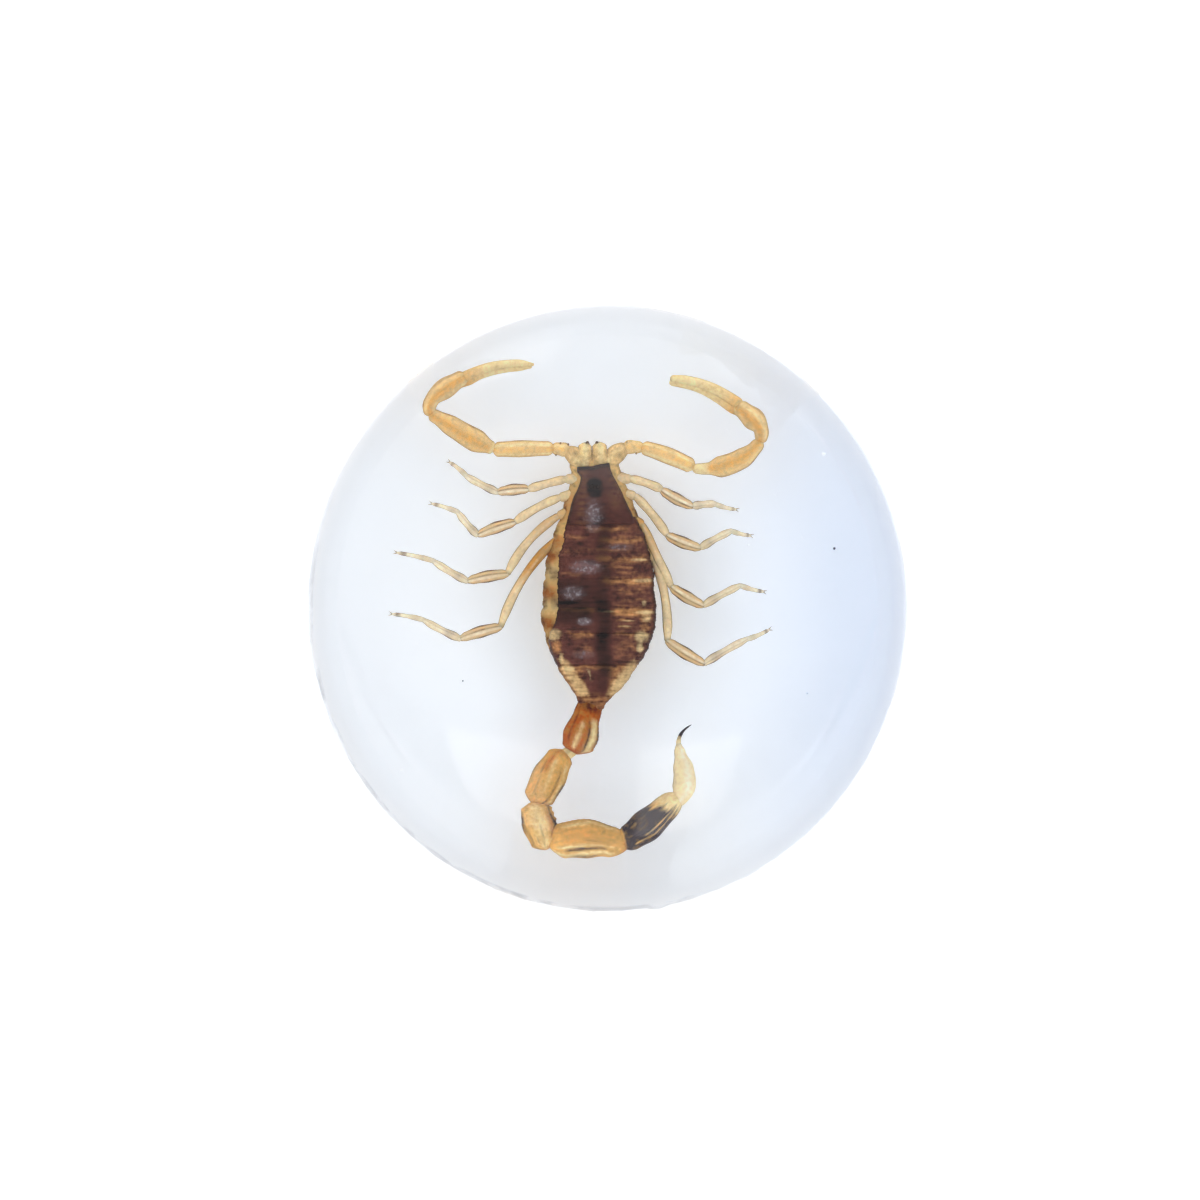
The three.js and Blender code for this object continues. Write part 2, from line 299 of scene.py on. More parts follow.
def new_finish(name, **settings):
    """A material, its tree and its shader, with the shader's plain numbers and colours set."""
    material = bpy.data.materials.new(name)
    material.use_nodes = True
    shader = material.node_tree.nodes["Principled BSDF"]
    for title, value in settings.items():
        shader.inputs[title.replace("_", " ")].default_value = value
    return material, material.node_tree, shader


# %% [markdown]
# ## The dried skin
# A scorpion's skin is thin horn, part clear and part stained, and the stain has soft, broken
# edges. The group below takes the marks of the surface, frays their edges with noise, and lays
# one colour over another. It also gives the height of the fine grains that cover the horn.
# Painting an image would give more detail, but noise keeps the scale right at any distance.

# %% Skin group
# Noise in waves for each metre, so 1000 is one wave for each millimetre.
CLOUD = 900.0
FLECK = 3600.0
CREASE_NOISE = 700.0
# The frost colour is a silvery bloom; its noise adds painted glints.
GLINT_NOISE = 3800.0
FROST_AND_GLINT_COLOUR = "C4BABE"
skin_group, given, out = new_group(
    "dried_skin",
    {"Base": "Color", "Warm": "Color", "Pale": "Color", "Dark": "Color",
     "Fray": "Float", "Mottle": "Float", "Wrinkle": "Float", "Grain": "Float"},
    {"Color": "Color", "Height": "Float", "Roughness": "Float"},
)
tree = skin_group
place = own_place(tree)
cloud = noise(tree, place, CLOUD, 6.0)
fleck = noise(tree, place, FLECK, 3.0)
grain = node(tree, "ShaderNodeTexVoronoi", Vector=place, Scale=given["Grain"]).outputs[0]
stretched = node(tree, "ShaderNodeVectorMath", {"operation": "MULTIPLY"}, i0=place,
                 i1=(1.0, 5.0, 1.0)).outputs[0]
crease = noise(tree, stretched, CREASE_NOISE, 5.0)
cloudy, flecked, creased = [calc(tree, "SUBTRACT", value, 0.5) for value in (cloud, fleck, crease)]
streak = times(tree, creased, given["Wrinkle"])

# %% [markdown]
# ### Stains
# The group lays warm, pale and dark stains over the base colour, in this order. The noise frays
# a mark only where there is some of it, so that clean skin stays clean.

# %% The stains, one over another
fray = plus(tree, times(tree, cloudy, given["Fray"]), streak,
            times(tree, flecked, given["Fray"], 0.7))
layer = given["Base"]
for mark in ("warm", "pale", "dark"):
    share = painted(tree, mark)
    near_mark = calc(tree, "MINIMUM", times(tree, share, 4.0), 1.0)
    frayed = node(tree, "ShaderNodeClamp", Value=plus(tree, share, times(tree, fray, near_mark)))
    layer = blend(tree, frayed.outputs[0], layer, given[mark.capitalize()])

# %% [markdown]
# ### Mottle, frost with painted glints, and relief
# Over the stains come lighter and darker clouds, calmed where the horn is pale and clear. Frost
# is a silvery bloom of tiny gaps between horn and resin; its sparkle in grains is a painted
# glint, noise that brightens the frost colour. The grains and creases also go out as a height,
# which the material turns into a bump.

# %% The mottled horn, the frost with its painted glints, and the height of the grains
clear = node(tree, "ShaderNodeClamp", Value=times(tree, painted(tree, "pale"), 0.75)).outputs[0]
lighter = plus(tree, times(tree, flecked, given["Mottle"]), times(tree, cloudy, given["Mottle"]),
               streak)
lighter = plus(tree, times(tree, lighter, calc(tree, "SUBTRACT", 1.0, clear)), 1.0)
layer = node(tree, "ShaderNodeVectorMath", {"operation": "SCALE"}, i0=layer, Scale=lighter)
# Painted glints: grains of noise brighten the frost colour, as if it caught the light.
painted_glint = plus(tree, times(tree, ramp(tree, noise(tree, place, GLINT_NOISE, 6.0), 0.46, 0.76), 0.7), 0.2)
frost_and_glint_share = times(tree, painted(tree, "frost_and_glint"), painted_glint)
layer = blend(tree, frost_and_glint_share, layer.outputs[0], chart(FROST_AND_GLINT_COLOUR))
tree.links.new(layer, out.inputs["Color"])
height = plus(tree, times(tree, grain, -0.6), fleck, times(tree, crease, given["Wrinkle"]))
tree.links.new(height, out.inputs["Height"])
tree.links.new(plus(tree, times(tree, fleck, 0.4), 0.25), out.inputs["Roughness"])
print("nodes in the skin group:", len(tree.nodes))

# %% [markdown]
# ### Seven skins
# The horn differs from part to part: the back is brown and creased, the underside and the legs
# are straw, the arms and the tail amber, the sting cream. One recipe makes them all, each with
# its base, warm, pale and dark colour. Light that enters the thin horn scatters and comes out
# again, which Subsurface gives. In resin the horn hardly mirrors, so its specular is low.

# %% Skins
GRAIN_HEIGHT = 0.06 * MM
SCATTER_DEPTH = 0.4 * MM
HORN_SPECULAR = 0.06


def skin(name, base, warm, pale, dark, fray=1.2, mottle=0.8, wrinkle=0.0, grain=5200.0, glow=0.25):
    """A skin finish. Glow is the share of light that goes through the horn and comes out again."""
    material, tree, shader = new_finish(
        name, Subsurface_Weight=glow, Subsurface_Radius=(1.0, 0.6, 0.3),
        Subsurface_Scale=SCATTER_DEPTH, Specular_IOR_Level=HORN_SPECULAR)
    look = node(tree, "ShaderNodeGroup", {"node_tree": skin_group}, Base=chart(base),
                Warm=chart(warm), Pale=chart(pale), Dark=chart(dark), Fray=fray, Mottle=mottle,
                Wrinkle=wrinkle, Grain=grain)
    relief = node(tree, "ShaderNodeBump", Strength=0.3, Distance=GRAIN_HEIGHT,
                  Height=look.outputs["Height"])
    tree.links.new(look.outputs["Color"], shader.inputs["Base Color"])
    tree.links.new(look.outputs["Roughness"], shader.inputs["Roughness"])
    tree.links.new(relief.outputs[0], shader.inputs["Normal"])
    return material


back_skin = skin("brown_back_skin", "61372F", "BC8350", "E4C48C", "110809", fray=0.7, mottle=1.25,
                 wrinkle=1.6, glow=0.0)
straw_skin = skin("straw_underside_skin", "E2B874", "A35E28", "F2DA9E", "4C2F1E", fray=1.5,
                  mottle=1.1, wrinkle=0.7)
jaw_skin = skin("pale_jaw_skin", "E6BD7C", "BA8444", "F0DAA0", "49341D", fray=1.3, mottle=1.1)
arm_skin = skin("amber_arm_skin", "FCD28C", "E9AB4C", "FAE6AC", "6A4526", mottle=0.8, grain=4200.0)
leg_skin = skin("straw_leg_skin", "F8DCAC", "CE964E", "FCF0D4", "55361F", fray=0.9, mottle=0.7,
                glow=0.4)
tail_skin = skin("amber_tail_skin", "ECB25A", "B4581C", "F8DFA0", "28151F", mottle=0.9)
sting_skin = skin("cream_sting_skin", "F8DEA8", "C98A50", "FDF3D8", "241A22", mottle=0.5)
print("skins:", [made.name for made in (
    back_skin, straw_skin, jaw_skin, arm_skin, leg_skin, tail_skin, sting_skin)])

# %% [markdown]
# ## The front shield
# The shield covers the head end and is one horny plate, narrow and notched in front, with the
# two main eyes on a small hump. It is a wide tube whose edges follow the real outline, left and
# right on their own, because the dried animal lies a little rolled. The eyes are two small
# beads set in the dark spot.

# %% Body outline
BODY_HEIGHT = 5.3
BACKWARD = np.array([0.0, -1.0, 0.0])
# Rows of y, left edge and right edge.
SHIELD_EDGES = [[10.3, -2.12, 0.14], [9.6, -2.12, 0.2], [9.2, -1.86, 0.42], [8.6, -2.0, 0.75],
                [7.6, -2.42, 1.2], [6.8, -2.66, 1.62], [6.1, -2.85, 1.93], [5.6, -2.85, 1.95]]
UNDER_EDGES = [[11.0, -2.2, 0.4], [10.2, -2.7, 0.75], [9.3, -2.45, 1.0], [7.7, -2.9, 1.6],
               [6.2, -3.3, 2.25], [4.9, -3.85, 2.65], [3.4, -4.25, 3.0], [1.0, -4.45, 3.2],
               [-0.8, -4.6, 3.22], [-2.0, -4.3, 3.0], [-3.4, -3.8, 2.35], [-4.3, -3.35, 1.85],
               [-5.2, -2.6, 1.15], [-6.2, -1.95, 0.1], [-6.9, -1.75, -0.35]]
PLATE_EDGES = [[6.4, -2.75, 1.95], [5.6, -2.95, 2.25], [4.9, -3.1, 2.6], [3.5, -3.45, 3.0],
               [2.0, -3.55, 3.2], [0.1, -3.55, 3.32], [-1.0, -3.7, 3.32], [-1.9, -4.1, 3.15],
               [-3.0, -3.9, 2.62], [-4.0, -3.5, 2.05], [-5.0, -2.88, 1.42], [-5.6, -2.52, 0.85],
               [-6.1, -2.15, 0.32], [-6.5, -1.95, -0.05], [-7.1, -1.85, -0.3]]


def between(edges, y):
    """Left and right edge at y, drawn straight from place to place and then smoothed a little."""
    rows = np.array(edges)[::-1]
    fine = np.linspace(rows[0, 0], rows[-1, 0], 400)
    kernel = np.ones(15) / 15
    sides = []
    for column in (1, 2):
        raw = np.interp(fine, rows[:, 0], rows[:, column])
        padded = np.r_[np.full(7, raw[0]), raw, np.full(7, raw[-1])]
        sides.append(np.interp(y, fine, np.convolve(padded, kernel, "valid")))
    return sides


def body_tube(edges, y, ends, flat, height=BODY_HEIGHT, ragged=0.0, below=1.0, **more):
    """A tube down the body. Its path runs midway between the edges, and flat sets its height.

    Ends are the shares of the length over which the width and the height close, front and rear.
    Ragged is the size of the uneven waves along both edges. Below is the depth under the path as
    a share of the height over it."""
    left, right = between(edges, y)
    left = left + ragged * (np.sin(3.1 * y) + 0.5 * np.sin(9.3 * y + 1) + 0.3 * np.sin(31 * y + 2))
    right = right + ragged * (np.sin(2.3 * y + 2) + 0.5 * np.sin(8.7 * y) + 0.3 * np.sin(29 * y))
    half = (right - left) / 2
    path = np.stack([(left + right) / 2, y, np.full_like(y, height)], -1)
    share = np.linspace(0, 1, len(y))
    wide = half * ends_round(share, *ends[0])
    tall = half * flat * ends_round(share, *ends[1])
    return tube(path, wide, tall, deep=tall * below, facing=BACKWARD, **more)


# %% Front shield
def shield_marks(share, across, above, x, y):
    """Near-black round the eyes, down the middle and along the rim, and frost with painted
    glints behind the eyes.
    """
    eye = step(0.75, 0.3, np.hypot(x + 0.9, (y - 8.48) * 0.75))
    middle = spot(x, -0.5, 0.5) * step(8.0, 6.4, y)
    rim = step(0.86, 0.98, np.abs(across)) * (0.42 - 0.18 * (x > 0)) + step(9.55, 9.9, y) * 0.6
    frost_and_glint = spot(x, -1.0, 0.45) * spot(y, 6.6, 0.8)
    red = 0.2 * spot(x, 0.6, 0.5) * spot(y, 8.4, 1.2) + 0.14 * spot(x, -1.8, 0.4)
    return {"dark": eye * 0.9 + middle * 0.45 + rim + 0.25, "frost_and_glint": frost_and_glint, "warm": red}


def shield_relief(share, turn):
    """A low hump on the crown at the middle, less a small dip in front. Each is the product of a
    bell along the shield and a bell in the turn."""
    hump = 0.02 * spot(share, 0.42, 0.08) * spot(turn, np.pi / 2, 0.3)
    return hump - 0.03 * spot(share, 0.0, 0.05) * spot(turn, np.pi / 2, 0.25)


y_down = np.linspace(10.05, 5.75, 110)
shield = body_tube(SHIELD_EDGES, y_down, ((0.008, 0.03), (0.05, 0.05)), 0.62, ragged=0.02,
                   below=0.5, sides=96, square=2.6, relief=shield_relief, marks=shield_marks)
# The front edge slants to the right and has a notch over the jaws.
crown = shield[0]
front = step(8.8, 10.0, crown[:, 1])
crown[:, 1] += front * (0.13 * (crown[:, 0] + 1.2) - 0.12 * spot(crown[:, 0], -1.1, 0.3))
EYES = [[-1.14, 8.55, 6.2], [-0.68, 8.57, 6.2]]
eyes = [limb([[x, y - 0.19, z], [x, y + 0.19, z]], [[0, 0.16], [1, 0.16]], 0.9, 14, 16,
             marks=lambda *_: {"dark": 1.0}) for x, y, z in EYES]
piece("front_shield", [shield, *eyes], back_skin)

# %% [markdown]
# ## The seven back plates
# Behind the shield lie seven plates like roof tiles, each with its rear edge over the next one.
# Each plate is its own closed shell here, so a step and a thin shadow show at every edge. The
# stain is nearly black along the middle. Clear amber bands cross the plates at their joints,
# and show best on the right. The last two plates are golden at their sides.

# %% Bands and patches of the plates
PLATE_ENDS = [6.15, 4.9, 3.6, 2.1, 0.12, -1.7, -3.9, -7.0]
# A band is its y, half-length and strength, and the x where it begins and ends.
BANDS = [[5.55, 0.14, 0.3, -1.8, 1.7], [4.75, 0.2, 0.5, -0.8, 2.7], [4.1, 0.12, 0.22, -2.6, 2.2],
         [3.42, 0.26, 0.5, -1.0, 3.1], [2.9, 0.12, 0.3, -0.2, 2.8], [2.5, 0.1, 0.2, 0.4, 2.9],
         [1.92, 0.24, 0.6, -0.6, 3.3], [1.2, 0.16, 0.25, 0.3, 2.7], [0.6, 0.1, 0.2, 0.6, 2.9],
         [-0.22, 0.28, 1.0, 0.1, 3.3], [-0.1, 0.16, 0.5, -3.6, -0.7], [-0.8, 0.08, 0.8, 0.4, 1.9],
         [-1.3, 0.08, 0.75, 0.5, 1.8], [-1.85, 0.22, 0.4, -3.1, -0.8], [-1.75, 0.16, 0.4, 0.3, 2.2],
         [-2.7, 0.5, 0.12, 0.4, 2.4], [-2.8, 0.3, 0.15, -2.6, -0.8], [-4.1, 0.12, 0.4, -2.6, 1.6],
         [5.0, 0.15, 0.18, -3.2, -1.2], [3.9, 0.12, 0.2, -3.5, -1.6], [2.4, 0.12, 0.16, -3.6, -1.5]]
# A patch is its strength, x, y, half-width and half-length.
PALE_BLOTS = [[0.8, 2.4, -1.95, 0.5, 0.42], [0.7, 2.25, -2.7, 0.24, 0.5],
              [0.7, -3.75, -1.85, 0.6, 0.42], [0.7, -2.65, -4.2, 0.35, 0.14],
              [0.4, 2.7, -0.6, 0.3, 0.5], [0.6, -3.25, -3.4, 0.16, 0.4],
              [0.8, 2.55, 0.35, 0.2, 0.22], [0.6, 2.55, -0.25, 0.7, 0.13],
              [0.55, 2.5, 1.95, 0.7, 0.13], [0.5, 2.2, 3.4, 0.6, 0.1], [0.6, -0.1, -0.2, 0.5, 0.08],
              [0.6, 1.45, -0.85, 0.4, 0.06], [0.5, 1.25, -1.25, 0.4, 0.06]]
WARM_BLOTS = [[0.5, 2.6, -1.1, 0.35, 0.9], [0.45, -3.55, -2.7, 0.35, 0.7],
              [0.4, -2.9, -5.0, 0.4, 0.8], [0.35, -0.95, -6.6, 1.2, 0.7]]
DARK_BLOTS = [[0.3, -2.2, -0.5, 1.5, 0.9], [0.7, -2.8, 0.4, 0.8, 0.12], [0.5, 1.4, -3.72, 0.9, 0.1],
              [0.5, -2.0, -1.45, 1.0, 0.1], [0.5, 1.5, -1.72, 1.1, 0.08]]
# Patches of frost, which the skin group covers with painted glints.
FROST_AND_GLINT_BLOTS = [[0.7, -1.5, 2.9, 1.1, 0.5], [1.2, -1.6, -0.9, 0.5, 0.28], [0.55, -2.4, 1.1, 0.8, 0.5],
               [0.5, -1.0, 5.7, 0.5, 0.4], [0.3, 0.9, 4.3, 0.9, 0.3], [0.3, -1.7, -3.2, 0.8, 0.3]]


def blot(x, y, left, at, wide, high):
    """An oval patch: 1 in its middle, falling to 0 a little outside it."""
    return step(1.3, 0.45, np.hypot((x - left) / wide, (y - at) / high))


def blots(x, y, rows):
    """The sum of a table's patches."""
    return sum(deep * blot(x, y, *oval) for deep, *oval in rows)


# %% Marks of the plates
def plate_marks(share, across, above, x, y):
    """Bands at their heights, a dark middle, golden corners behind, and frost with painted glints on
    the left.
    """
    waved = y + 0.05 * np.sin(5 * x)
    bands = sum(deep * spot(waved, at, width) * step(low, low + 0.7, x) * step(high, high - 0.6, x)
                for at, width, deep, low, high in BANDS)
    left_gold = blot(x + 0.62 * (y + 4.2), y, -2.78, -5.0, 0.52, 1.5)
    right_gold = blot(x - 0.66 * (y + 4.6), y, 1.42, -5.0, 0.66, 1.5)
    seventh = step(-3.95, -4.3, y) * step(-6.6, -5.6, y) * step(0.6, 1.3, np.abs(x + 0.75))
    warm = bands + 0.05 * step(-0.2, 0.8, x) + 0.8 * (left_gold + right_gold) + 0.4 * seventh
    pale = (0.6 * left_gold + 0.72 * right_gold) * step(-6.5, -5.9, y)
    pale = pale + 0.55 * blot(x + 0.3 * (y + 4.6), y, -1.25, -4.6, 0.1, 0.45)
    rim = 0.6 - 0.6 * blot(x, y, -3.9, -1.9, 0.7, 0.7) - 0.35 * step(-3.6, -4.2, y)
    rim = rim * step(0.92, 0.99, np.abs(across))
    middle = step(0.85, 0.1, np.abs(x + 0.25 + 0.12 * np.sin(1.9 * y)))
    middle = middle * (0.4 + 0.6 * step(-5.2, -3.6, y)) * step(-6.4, -5.6, y)
    middle = middle * (0.6 + 0.27 * step(2.0, 0.0, y)) * (0.88 + 0.12 * np.sin(2.7 * y + 1))
    shade = 0.55 * step(-0.2, -1.6, x) * step(-1.5, 0.0, y) * step(2.6, 1.5, y)
    return {"warm": warm + blots(x, y, WARM_BLOTS), "pale": pale + blots(x, y, PALE_BLOTS),
            "dark": rim + middle + shade + blots(x, y, DARK_BLOTS),
            "frost_and_glint": blots(x, y, FROST_AND_GLINT_BLOTS)}


# %% Seven plates
def plate_relief(share, turn):
    """Three low keels along the plate, broken into beads, over a slight rise to the rear."""
    keels = spot(turn, np.pi / 2, 0.05) + 0.7 * spot(turn, 1.15, 0.045) + 0.7 * spot(turn, 1.99, 0.045)
    beads = 0.6 + 0.4 * np.cos(share * 60)
    creases = 0.006 * np.sin(share * 26 + 2 * np.sin(3 * turn)) * step(0.2, 0.5, share)
    return 0.024 * keels * beads * step(0.1, 0.4, share) + 0.016 * step(0.3, 0.95, share) + creases


plates = []
for front, rear in zip(PLATE_ENDS, PLATE_ENDS[1:]):
    y_down = np.linspace(front + 0.25, rear - 0.06, int(28 * (front - rear)) + 8)
    closing = ((0.03, 0.03), (0.14, 0.04))
    plates.append(body_tube(PLATE_EDGES, y_down, closing, 0.47, ragged=0.04, below=0.5, sides=120,
                            square=2.3, relief=plate_relief, marks=plate_marks))
piece("back_plates", plates, back_skin)

# %% [markdown]
# ## Under-body and flanks
# Below the shield and the plates the body is soft, straw yellow skin. On the left it shows as
# a pale strip with orange patches beside the dark plates, and in front as a clear shelf on both
# sides of the shield. It is one closed tube, a little lower than the plates.

# %% Under-body
def under_marks(share, across, above, x, y):
    """Orange and brown patches at each plate's side, painted shade beside the plates, golden over
    the hips, and pale between.
    """
    patches = sum(spot(np.hypot((x + 4.15) * 0.8, y - at), 0, 0.45) for at in (3.6, 1.1, -1.0))
    patches = patches + 0.6 * spot(y, 4.6, 0.5) * step(-2.6, -3.2, x)
    patches = patches + 0.7 * spot(np.hypot(x + 4.0, y + 3.1), 0, 0.5)
    edge = step(0.86, 0.985, np.abs(across)) * (0.5 + 0.25 * np.sin(5 * y))
    # Painted shade: a darker strip along the left edge of the plates, where they shade the flank.
    shade_beside_plates = 0.55 * step(0.5, 0.2, np.abs(x + 3.6)) * step(4.4, 3.4, y) * (0.5 + 0.5 * np.sin(3.4 * y))
    patches = patches + 0.3 * step(-3.2, -3.6, x) * step(5.5, 4.0, y)
    joints = sum(spot(y, at, 0.07) for at in PLATE_ENDS[1:-1]) * (above < 0)
    return {"warm": patches + 0.3 * step(9.6, 8.0, y) * step(5.0, 6.5, y) + 0.4 * joints,
            "dark": edge + shade_beside_plates, "pale": 0.5 * spot(y, 2.4, 0.6) + 0.5 * spot(y, 0.1, 0.5) + 0 * x}


UNDER_ENDS = (10.9, -6.85)
UNDER_HEIGHT = 4.9


def under_relief(share, turn):
    """A shallow furrow, the shape of a bell, at each joint of the plates above."""
    y = UNDER_ENDS[0] + (UNDER_ENDS[1] - UNDER_ENDS[0]) * share
    return -0.02 * sum(spot(y, at, 0.12) for at in PLATE_ENDS[1:-1])


under = body_tube(UNDER_EDGES, np.linspace(*UNDER_ENDS, 240), ((0.03, 0.02), (0.05, 0.02)), 0.34,
                  UNDER_HEIGHT, 0.035, sides=96, square=2.2, marks=under_marks, relief=under_relief)
piece("under_body", [under], straw_skin)

# %% [markdown]
# ## The belly
# From below, the hips of the eight legs meet at a small breastplate. Behind it hang the two
# combs, and then five smooth belly plates, each with a pair of breathing slits. They are low, so
# each is a flat tube set a little into the under-body.

# %% Belly
def belly_marks(share, across, above, x, y):
    """A brown rear edge, brown sides, and one dark slit on each side of the middle."""
    slit = spot(np.abs(across) - 0.55, 0, 0.1) * spot(share, 0.6, 0.05)
    return {"dark": 0.9 * slit * (above < 0) + 0.4 * step(0.85, 1.0, np.abs(across)),
            "warm": 0.6 * step(0.86, 0.97, share), "pale": 0.3 + 0 * x}


BELLY_EDGES = [[y, left + 0.5, right - 0.5] for y, left, right in UNDER_EDGES]
BELLY_ENDS = [4.1, 2.2, 0.3, -1.6, -3.8, -6.3]
BELLY_HEIGHT = 4.4
belly = []
for front, rear in zip(BELLY_ENDS, BELLY_ENDS[1:]):
    y_down = np.linspace(front + 0.1, rear, 40)
    belly.append(body_tube(BELLY_EDGES, y_down, ((0.04, 0.04), (0.3, 0.05)), 0.26, BELLY_HEIGHT,
                           0.02, sides=64, square=2.3, marks=belly_marks))
# The breastplate, and behind it a small plate with a groove.
belly.append(limb([[-0.8, 7.2, 4.15], [-0.72, 6.2, 3.95]], [[0, 0.22], [0.6, 0.42], [1, 0.36]], 0.5,
                  20, 20, marks=lambda share, across, *_: {"dark": 0.4 * step(0.8, 1, np.abs(across))}))
belly.append(limb([[-0.7, 6.0, 4.0], [-0.65, 5.3, 3.85]], [[0, 0.5], [1, 0.5]], 0.4, 20, 20,
                  marks=lambda share, across, *_: {"dark": 0.8 * spot(across, 0, 0.06)}))

# %% [markdown]
# ### Combs
# Each comb is a slim curved spine with a row of small teeth that point to the rear. The teeth
# stand on the same curve that the spine follows, so they keep to it wherever it bends.

# %% Combs
COMB_TEETH = 14
for way in (-1, 1):
    spine = through([[-0.65 + 0.2 * way, 5.2, 3.95], [-0.62 + 1.2 * way, 4.85, 3.85],
                     [-0.6 + 2.3 * way, 4.0, 3.95]], np.linspace(0, 1, COMB_TEETH))
    belly.append(limb([spine[0], spine[COMB_TEETH // 2], spine[-1]],
                      [[0, 0.24], [0.6, 0.2], [1, 0.12]], 0.6, 30, 16, marks=lambda *_: {"warm": 0.5}))
    for root in spine:
        tip = root + [-0.1 * way, -0.5, 0.02]
        belly.append(limb([root, tip], [[0, 0.07], [0.7, 0.085], [1, 0.06]], 0.8, 12, 10,
                          marks=lambda *_: {"pale": 0.6}))
piece("belly", belly, straw_skin)

# %% [markdown]
# ## Jaws
# Two short, stout jaws stand in front of the shield. Each is a plump tube that narrows to a
# blunt end, and carries a small finger with a dark tip on its outer side.

# %% Jaws
def jaw_marks(share, across, above, x, y):
    """Dark where the finger closes, warm at the root and pale on the crown."""
    return {"dark": 0.5 * step(0.9, 1.0, share) + 0.6 * step(0.82, 1.0, np.abs(across)),
            "warm": 0.35 * step(0.4, 0.0, share), "pale": 0.5 * spot(across, 0.1, 0.4)}


jaws = []
for root, tip, lean, girth in (((-1.62, 9.7, 4.95), (-1.56, 11.62, 5.1), -0.02, 0.56),
                               ((-0.52, 9.7, 4.95), (-0.6, 11.66, 5.1), 0.02, 0.6)):
    middle = ((root[0] + tip[0]) / 2 + lean, (root[1] + tip[1]) / 2, 5.25)
    stops = [[0, 0.9 * girth], [0.45, girth], [0.85, 0.85 * girth], [1, 0.6 * girth]]
    jaws.append(limb([root, middle, tip], stops, 0.85, 44, 32, marks=jaw_marks))
    jaws.append(limb([(tip[0] - 4 * lean, 10.95, 5.45), (tip[0] - 8 * lean, 11.74, 5.3)],
                     [[0, 0.22], [0.6, 0.2], [1, 0.1]], 0.9, 20, 16,
                     marks=lambda share, *_: {"dark": 0.9 * step(0.55, 0.9, share)}))

# %% [markdown]
# ### Hips of the arms
# The arms start from stout hips at both sides of the jaws, which belong to the same pale group.
# Each is one plump tube along three points, with a brown smudge on its crown.

# %% Hips of the arms
def hip_marks(share, across, above, x, y):
    """Brown sides with one round smudge, warm where the arm begins, and a pale crown."""
    smudge = spot(np.hypot(across - 0.3, 3 * share - 1.9), 0, 0.3)
    return {"dark": 0.4 * step(0.8, 1, np.abs(across)) + 0.5 * smudge,
            "warm": 0.5 * step(0.7, 1, share), "pale": 0.4 * spot(across, -0.3, 0.3)}


HIPS = [[[-1.5, 9.9, 4.95], [-2.2, 10.6, 5.1], [-3.0, 11.1, 5.1]],
        [[-0.1, 9.9, 4.95], [0.6, 10.8, 5.1], [1.45, 11.3, 5.1]]]
for places in HIPS:
    jaws.append(limb(places, [[0, 0.6], [0.5, 0.68], [1, 0.44]], 0.85, 36, 24, marks=hip_marks))
piece("jaws_and_hips", jaws, jaw_skin)

# %% [markdown]
# ## The two arms
# Each arm has a short root, a boxy upper arm, a pear-shaped forearm, a curved palm and two long
# fingers that lie together. The keels of the upper arm show as thin pale lines, and the joints
# are darker with small black pegs. The sections are separate closed tubes that overlap at their
# joints, as the real ones plug into each other.

# %% Marks and keels of the arms
def arm_marks(edge=0.6, pale_line=0.0, warm_middle=0.0, warm_ends=0.5, pale_root=0.0):
    """Grey-brown outlines, partly keel pigment and partly painted edge shade, a pale keel line, and
    warmer skin in the middle or at the joints.
    """
    def marks(share, across, above, x, y):
        ends = step(0.12, 0.0, share) + step(0.9, 1.0, share)
        keel = spot(across, 0.55, 0.14) * step(0.03, 0.12, share) + 0.5 * spot(across, -0.6, 0.1)
        root = step(pale_root * 1.3, pale_root * 0.9, share) if pale_root else 0.0
        fibres = np.clip(np.sin(19 * across + 3 * np.sin(4 * share + 9 * edge)), 0, 1) ** 4
        # Painted edge shade: the outline at both sides is partly keel pigment and partly shade.
        outline_and_edge_shade = step(0.8, 0.97, np.abs(across))
        middle = spot(across, -0.1, 0.5) * step(pale_root - 0.02, pale_root + 0.06, share)
        return {"dark": edge * outline_and_edge_shade + 0.1 * fibres, "pale": pale_line * keel + root * 0.6,
                "warm": warm_middle * middle + warm_ends * ends + 0.35 * outline_and_edge_shade}
    return marks


def boxy(share, turn):
    """Four keels along a section: a bell in the turn at each, times a cosine of the share, which
    breaks it into fine beads."""
    keels = sum(spot(turn, at, 0.12) for at in (0.75, 2.4, 3.9, 5.5))
    return 0.06 * keels * (0.75 + 0.25 * np.cos(share * 90))


# %% Fingers
def fixed_marks(share, across, *_):
    """The fixed finger: warm at the root, pale after it, with faint brown sides and tip."""
    side = 0.25 * step(0.85, 0.98, np.abs(across)) + 0.15 * spot(across, 0.1, 0.08)
    return {"pale": 0.55 * step(0.05, 0.5, share), "warm": 0.55 * step(0.45, 0.0, share),
            "dark": side + 0.25 * step(0.95, 1.0, share)}


def free_marks(share, across, *_):
    """The free finger: warmer at the root, with a line along the side that closes."""
    return {"pale": 0.45 * step(0.1, 0.5, share), "warm": 0.8 * step(0.45, 0.0, share),
            "dark": 0.3 * step(0.82, 0.98, across) + 0.05 * step(0.85, 0.98, -across)}


